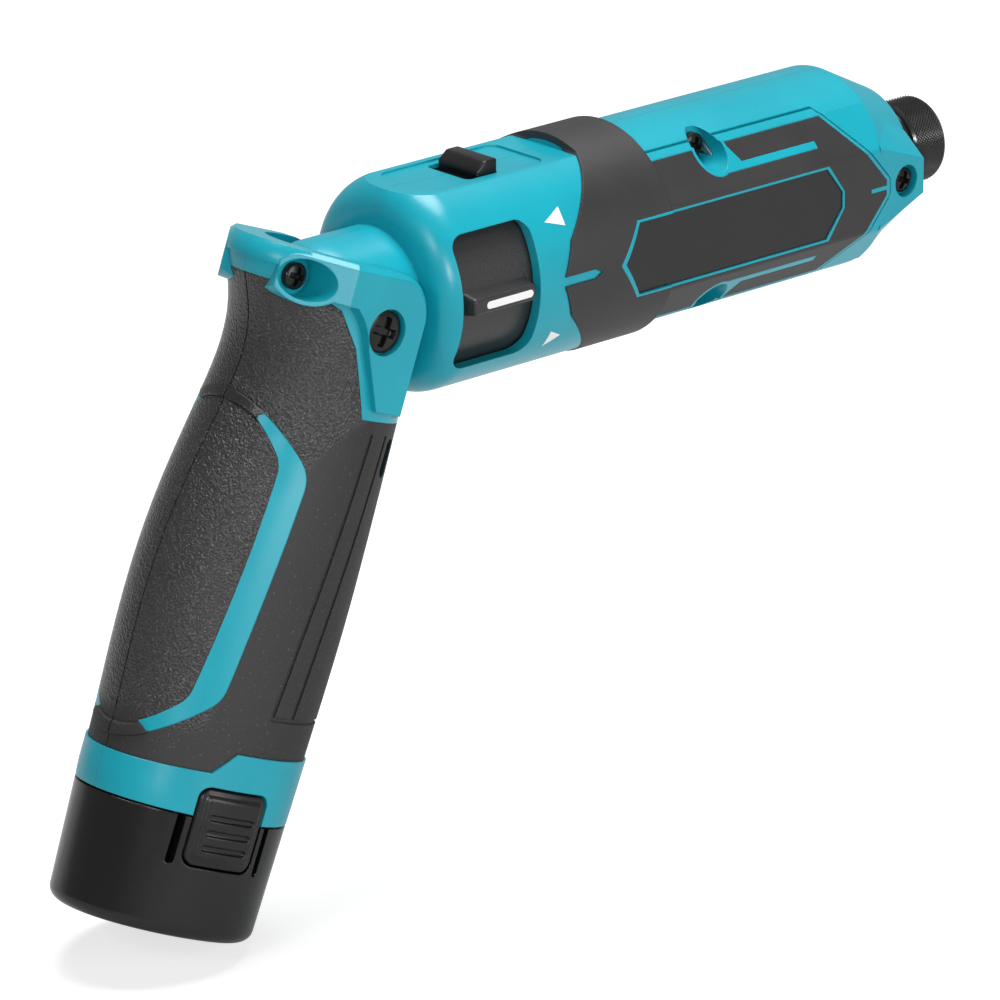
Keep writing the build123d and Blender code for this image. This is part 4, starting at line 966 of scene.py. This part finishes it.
@dataclass
class ReleaseButton:
    """A battery release button: a flange, a raised pad with sloping sides and three finger slots.

    Its sizes are in millimetres, and its side is 1 on the left of the tool and -1 on the right. A
    station is a place down the handle from the hinge, and a reach is a place towards the handle's
    front. A section is the pack's half length to the rear, its half width and its half length to
    the front.
    """

    node: str
    body: str
    side: float
    top: float = 91.4
    bottom: float = 106.4
    middle: float = -5.7
    width: float = 14.6
    corner: float = 2.4
    corner_steps: int = 12
    step: float = 0.16
    seat_station: float = 97.4
    foot_station: float = 120.9
    seat_section: tuple[float, float, float] = (25.8, 19.6, 19.6)
    foot_section: tuple[float, float, float] = (24.9, 19.0, 18.6)
    rim: float = 0.5
    flange: float = 0.8
    pad_rise: float = 0.6
    pad_slope: float = 1.1
    slots: tuple[float, ...] = (96.7, 99.7, 102.7)
    slot_half: float = 4.3
    slot_width: float = 0.55
    slot_wall: float = 0.2
    slot_depth: float = 0.6

    def skin(self, reach: float, station: float) -> float:
        """How far the pack's skin stands out sideways at a place on its side.

        Args:
            reach: the place towards the handle's front.
            station: the place down the handle.

        Returns:
            The distance from the middle plane.
        """
        share = clamp((station - self.seat_station) / (self.foot_station - self.seat_station))
        rear, half, front = (
            seat + (foot - seat) * share for seat, foot in zip(self.seat_section, self.foot_section)
        )
        length = front if reach > 0.0 else rear
        return half * math.sqrt(1.0 - (reach / length) ** 2)

    def relief(self, across: float, station: float, half_width: float) -> float:
        """Height of the button's face over the pack's skin.

        Args:
            across: the place across the button, from its middle.
            station: the place down the handle.
            half_width: the button's half width at that station.

        Returns:
            The height, 0 on the pad and less around it.
        """
        edge = max(min(half_width - abs(across), station - self.top, self.bottom - station), 0.0)
        short = max(self.rim - edge, 0.0)
        height = math.sqrt(max(self.rim**2 - short**2, 0.0)) - self.rim
        rise = clamp((edge - self.flange) / self.pad_slope)
        height += self.pad_rise * (rise * rise * (3.0 - 2.0 * rise) - 1.0)
        for slot in self.slots:
            away = math.hypot(max(abs(across) - self.slot_half, 0.0), station - slot)
            height -= self.slot_depth * clamp((self.slot_width - away) / self.slot_wall + 0.5)
        return height

    def rows(self) -> list[tuple[float, float]]:
        """Goes down the button in steps that are closer together round its corners.

        Returns:
            Each station with the button's half width there.
        """
        straight = self.bottom - self.top - 2.0 * self.corner
        count = round(straight / self.step)
        half = self.width / 2.0 - self.corner
        arcs = []
        for turn in range(self.corner_steps):
            angle = FULL_TURN / 4.0 * turn / self.corner_steps
            arcs.append((self.corner * (1.0 - math.cos(angle)), half + self.corner * math.sin(angle)))
        rows = [(self.top + drop, wide) for drop, wide in arcs]
        for row in range(count + 1):
            rows.append((self.top + self.corner + straight * row / count, self.width / 2.0))
        return rows + [(self.bottom - drop, wide) for drop, wide in reversed(arcs)]

    def place(self, reach: float, station: float, out: float) -> Vector:
        """Turns a place on the pack's side into a point of the frame.

        Args:
            reach: the place towards the handle's front.
            station: the place down the handle.
            out: the distance from the middle plane.

        Returns:
            The point in metres.
        """
        point = PIVOT + (HANDLE_DOWN * station + HANDLE_FRONT * reach) * MM
        point.y = self.side * out * MM
        return point

    def build(self, wardrobe: Wardrobe) -> None:
        """Builds the button in the place of its CAD node.

        Args:
            wardrobe: where its finish comes from.
        """
        columns = round(self.width / self.step)
        back = min(abs(corner[1]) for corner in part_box(self.node)) / MM
        mesh = bmesh.new()
        grid, spots = [], []
        for station, half_width in self.rows():
            line, marks = [], []
            for column in range(columns + 1):
                across = half_width * (2.0 * column / columns - 1.0)
                reach = self.middle + across
                out = self.skin(reach, station) + self.relief(across, station, half_width)
                line.append(mesh.verts.new(self.place(reach, station, out)))
                marks.append((reach, station))
            grid.append(line)
            spots.append(marks)
        for upper, lower in zip(grid, grid[1:]):
            for column in range(columns):
                mesh.faces.new((upper[column], upper[column + 1], lower[column + 1], lower[column]))
        last = len(grid) - 1
        rim = [(0, column) for column in range(columns)]
        rim += [(row, columns) for row in range(last)]
        rim += [(last, column) for column in range(columns, 0, -1)]
        rim += [(row, 0) for row in range(last, 0, -1)]
        outer = [grid[row][column] for row, column in rim]
        inner = [mesh.verts.new(self.place(*spots[row][column], back)) for row, column in rim]
        bridge_rings(mesh, [outer, inner])
        mesh.faces.new(inner)
        button = wardrobe.add(f"{self.body}_pad", mesh, self.body, Slot.black_plastic)
        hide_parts(self.node)


@dataclass
class PaintedMarks:
    """White direction marks: a bar on each trigger fin and an arrowhead above and below each V.

    The arrowheads' corners are along the barrel and up its side, in millimetres.
    """

    proud: float = 0.04 * MM
    bar_proud: float = 0.016 * MM
    bar_depth: float = 0.1 * MM
    bar_middle: float = -132.7 * MM
    bar_length: float = 11.9 * MM
    bar_width: float = 1.5 * MM
    bar_steps: int = 6
    barrel_radius: float = 21.7 * MM
    upper: tuple[tuple[float, float], ...] = ((-115.5, 13.6), (-120.1, 11.7), (-115.5, 10.3))
    lower: tuple[tuple[float, float], ...] = ((-119.2, -10.3), (-116.0, -11.9), (-119.5, -13.8))
    splits: int = 6

    def bar_rim(self) -> list[tuple[float, float]]:
        """Draws a bar with round ends.

        Returns:
            The points of its rim, along the tool and up.
        """
        radius = self.bar_width / 2.0
        offset = self.bar_length / 2.0 - radius
        rim = []
        for corner, way in enumerate((1.0, -1.0, -1.0, 1.0)):
            for step in range(self.bar_steps + 1):
                angle = FULL_TURN / 4.0 * (corner + step / self.bar_steps)
                x = self.bar_middle + way * offset + radius * math.cos(angle)
                rim.append((x, radius * math.sin(angle)))
        return rim

    def bars(self, wardrobe: Wardrobe) -> None:
        """Builds the bar on each fin's tip.

        Args:
            wardrobe: where its finish comes from.
        """
        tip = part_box("trigger_drum")[1][1] + self.bar_proud
        rim = self.bar_rim()
        mesh = bmesh.new()
        for side in (1.0, -1.0):
            outer = [mesh.verts.new((x, side * tip, z)) for x, z in rim]
            inner = [mesh.verts.new((x, side * (tip - self.bar_depth), z)) for x, z in rim]
            bridge_rings(mesh, [inner, outer])
            mesh.faces.new(outer)
            mesh.faces.new(inner)
        wardrobe.add("fin_bars", mesh, "trigger", Slot.plate_black, WHITE, smooth=False)

    def shell(
        self, mesh: Mesh, corners: tuple[tuple[float, float], ...], radius: float, side: float
    ) -> Ring:
        """Adds one triangle bent to a radius.

        Args:
            mesh: the mesh that it goes into.
            corners: its three corners.
            radius: the radius that it lies on.
            side: 1 for the left side and -1 for the right.

        Returns:
            Its rim, corner by corner.
        """
        grid = {}
        first, second, third = (Vector((x, z)) * MM for x, z in corners)
        for row in range(self.splits + 1):
            for column in range(self.splits + 1 - row):
                share_b, share_c = column / self.splits, row / self.splits
                spot = first * (1.0 - share_b - share_c) + second * share_b + third * share_c
                depth = math.sqrt(radius**2 - spot.y**2)
                grid[row, column] = mesh.verts.new((spot.x, side * depth, spot.y))
        for row in range(self.splits):
            for column in range(self.splits - row):
                here, right = grid[row, column], grid[row, column + 1]
                above = grid[row + 1, column]
                mesh.faces.new((here, right, above))
                if column + row < self.splits - 1:
                    mesh.faces.new((right, grid[row + 1, column + 1], above))
        bottom = [grid[0, column] for column in range(self.splits)]
        slope = [grid[row, self.splits - row] for row in range(self.splits)]
        back = [grid[row, 0] for row in range(self.splits, 0, -1)]
        return bottom + slope + back

    def arrows(self, wardrobe: Wardrobe) -> None:
        """Builds the arrowheads on the round of the barrel.

        Args:
            wardrobe: where their finish comes from.
        """
        mesh = bmesh.new()
        for side in (1.0, -1.0):
            for corners in (self.upper, self.lower):
                rims = []
                for radius in (self.barrel_radius + self.proud, self.barrel_radius - self.proud):
                    rims.append(self.shell(mesh, corners, radius, side))
                bridge_rings(mesh, rims)
        wardrobe.add("turn_arrows", mesh, "barrel", Slot.plate_black, WHITE, smooth=False)

    def build(self, wardrobe: Wardrobe) -> None:
        """Builds all the marks."""
        self.bars(wardrobe)
        self.arrows(wardrobe)


@dataclass(frozen=True)
class Lamp:
    """A square soft box: its place and side in metres, and its power in watts."""

    name: str
    place: tuple[float, float, float]
    size: float
    watts: float

    def hang(self, aim: Vector) -> None:
        """Adds the lamp to the scene.

        Args:
            aim: the point that it faces.
        """
        data = bpy.data.lights.new(self.name, "AREA")
        data.shape = "SQUARE"
        data.size = self.size
        data.energy = self.watts
        lamp = bpy.data.objects.new(self.name, data)
        lamp.location = self.place
        lamp.rotation_euler = (aim - Vector(self.place)).to_track_quat("-Z", "Y").to_euler()
        bpy.context.scene.collection.objects.link(lamp)


@dataclass
class Studio:
    """Camera at the photograph's angle, a pale floor and soft light."""

    eye: Vector = field(default_factory=lambda: Vector((-983.2, -960.5, 415.3)) * MM)
    azimuth: float = math.radians(42.1)
    elevation: float = math.radians(19.8)
    roll: float = math.radians(-0.2)
    focal_px: float = 7000.0
    frame_px: float = 1000.0
    sensor: float = 36.0
    clip: tuple[float, float] = (0.01, 100.0)
    white: Colour = (1.0, 1.0, 1.0)
    floor_colour: Colour = (0.50, 0.50, 0.50)
    floor_half: float = 12.0
    floor_gap: float = 0.5 * MM
    floor_seen: float = 0.68
    floor_mirrored: float = 0.15
    sky: float = 0.08
    sky_shine: float = 0.25
    aim: Vector = field(default_factory=lambda: Vector((-0.11, 0.0, -0.03)))
    lamps: tuple[Lamp, ...] = (
        Lamp("key", (0.05, -1.45, 0.25), 0.9, 13.0),
        Lamp("glint", (-1.17, -1.12, 0.40), 0.11, 6.0),
        Lamp("side", (-1.20, -0.30, 0.65), 0.22, 2.2),
        Lamp("top", (0.10, 0.15, 1.40), 0.9, 27.0),
    )

    def camera(self) -> None:
        """Sets the camera where the photograph was taken from."""
        sin_a, cos_a = math.sin(self.azimuth), math.cos(self.azimuth)
        sin_e, cos_e = math.sin(self.elevation), math.cos(self.elevation)
        back = Vector((-sin_a * cos_e, -cos_a * cos_e, sin_e))
        right = Vector((cos_a, -sin_a, 0.0))
        up = Vector((sin_e * sin_a, sin_e * cos_a, cos_e))
        tilted = right * math.cos(self.roll) + up * math.sin(self.roll)
        upright = up * math.cos(self.roll) - right * math.sin(self.roll)
        data = bpy.data.cameras.new("camera")
        data.sensor_fit = "HORIZONTAL"
        data.sensor_width = self.sensor
        data.lens = self.sensor * self.focal_px / self.frame_px
        data.clip_start, data.clip_end = self.clip
        camera = bpy.data.objects.new("camera", data)
        turn = Matrix((tilted, upright, back)).transposed().to_4x4()
        camera.matrix_world = Matrix.Translation(self.eye) @ turn
        bpy.context.scene.collection.objects.link(camera)
        bpy.context.scene.camera = camera

    def floor(self) -> None:
        """Lays a white floor under the tool that keeps its shadow."""
        level = CAD_BOX[0][2] - self.floor_gap
        half = self.floor_half
        corners = [(-half, -half, level), (half, -half, level), (half, half, level), (-half, half, level)]
        mesh = bpy.data.meshes.new("floor")
        mesh.from_pydata(corners, [], [(0, 1, 2, 3)])
        floor = bpy.data.objects.new("floor", mesh)
        bpy.context.scene.collection.objects.link(floor)
        graph = Graph(bpy.data.materials.new("floor_white"))
        seen, mirrored = graph.rays()
        strength = seen * self.floor_seen + mirrored * self.floor_mirrored
        matte = graph.node("ShaderNodeBsdfDiffuse", {}, {"Color": self.floor_colour})
        glow = graph.node("ShaderNodeEmission", {}, {"Color": self.white, "Strength": strength})
        both = graph.node("ShaderNodeAddShader", {}, {0: graph.out(matte), 1: graph.out(glow)})
        graph.node("ShaderNodeOutputMaterial", {}, {"Surface": graph.out(both)})
        mesh.materials.append(graph.owner)

    def light(self) -> None:
        """Hangs the lamps and sets a dim sky that shines in gloss."""
        for lamp in self.lamps:
            lamp.hang(self.aim)
        world = bpy.data.worlds.new("sky")
        bpy.context.scene.world = world
        graph = Graph(world)
        seen, mirrored = graph.rays()
        strength = (seen + mirrored) * self.sky_shine + self.sky
        sky = graph.node("ShaderNodeBackground", {}, {"Color": self.white, "Strength": strength})
        graph.node("ShaderNodeOutputWorld", {}, {"Surface": graph.out(sky)})

    def build(self) -> None:
        """Builds the whole studio."""
        bpy.context.scene.view_settings.view_transform = "Standard"
        self.camera()
        self.floor()
        self.light()


def main() -> None:
    """Builds the looks, the pieces and the studio."""
    logging.basicConfig(level=logging.INFO, format="%(name)s: %(message)s")
    wardrobe = Wardrobe()
    wardrobe.dress_frame()
    for maker in (
        ImpactSpring(),
        BitSleeve(),
        CrossScrews("housing_screws", "barrel", Layout.stacked, length=17.5 * MM),
        CrossScrews("nose_screws", "barrel", Layout.both_sides, length=5.0 * MM),
        CrossScrews(
            "pivot_screws",
            "handle",
            Layout.both_sides,
            length=8.5 * MM,
            radius=4.15 * MM,
            height=1.5 * MM,
            shank=2.0 * MM,
        ),
        CrossScrews("yoke_screw", "handle", Layout.one, length=14.0 * MM),
        LockKnob(),
        ReleaseButton("release_button_right", "button_right", RIGHT.y),
        ReleaseButton("release_button_left", "button_left", LEFT.y),
        PaintedMarks(),
    ):
        maker.build(wardrobe)
    Studio().build()


if __name__ == "__main__":
    main()
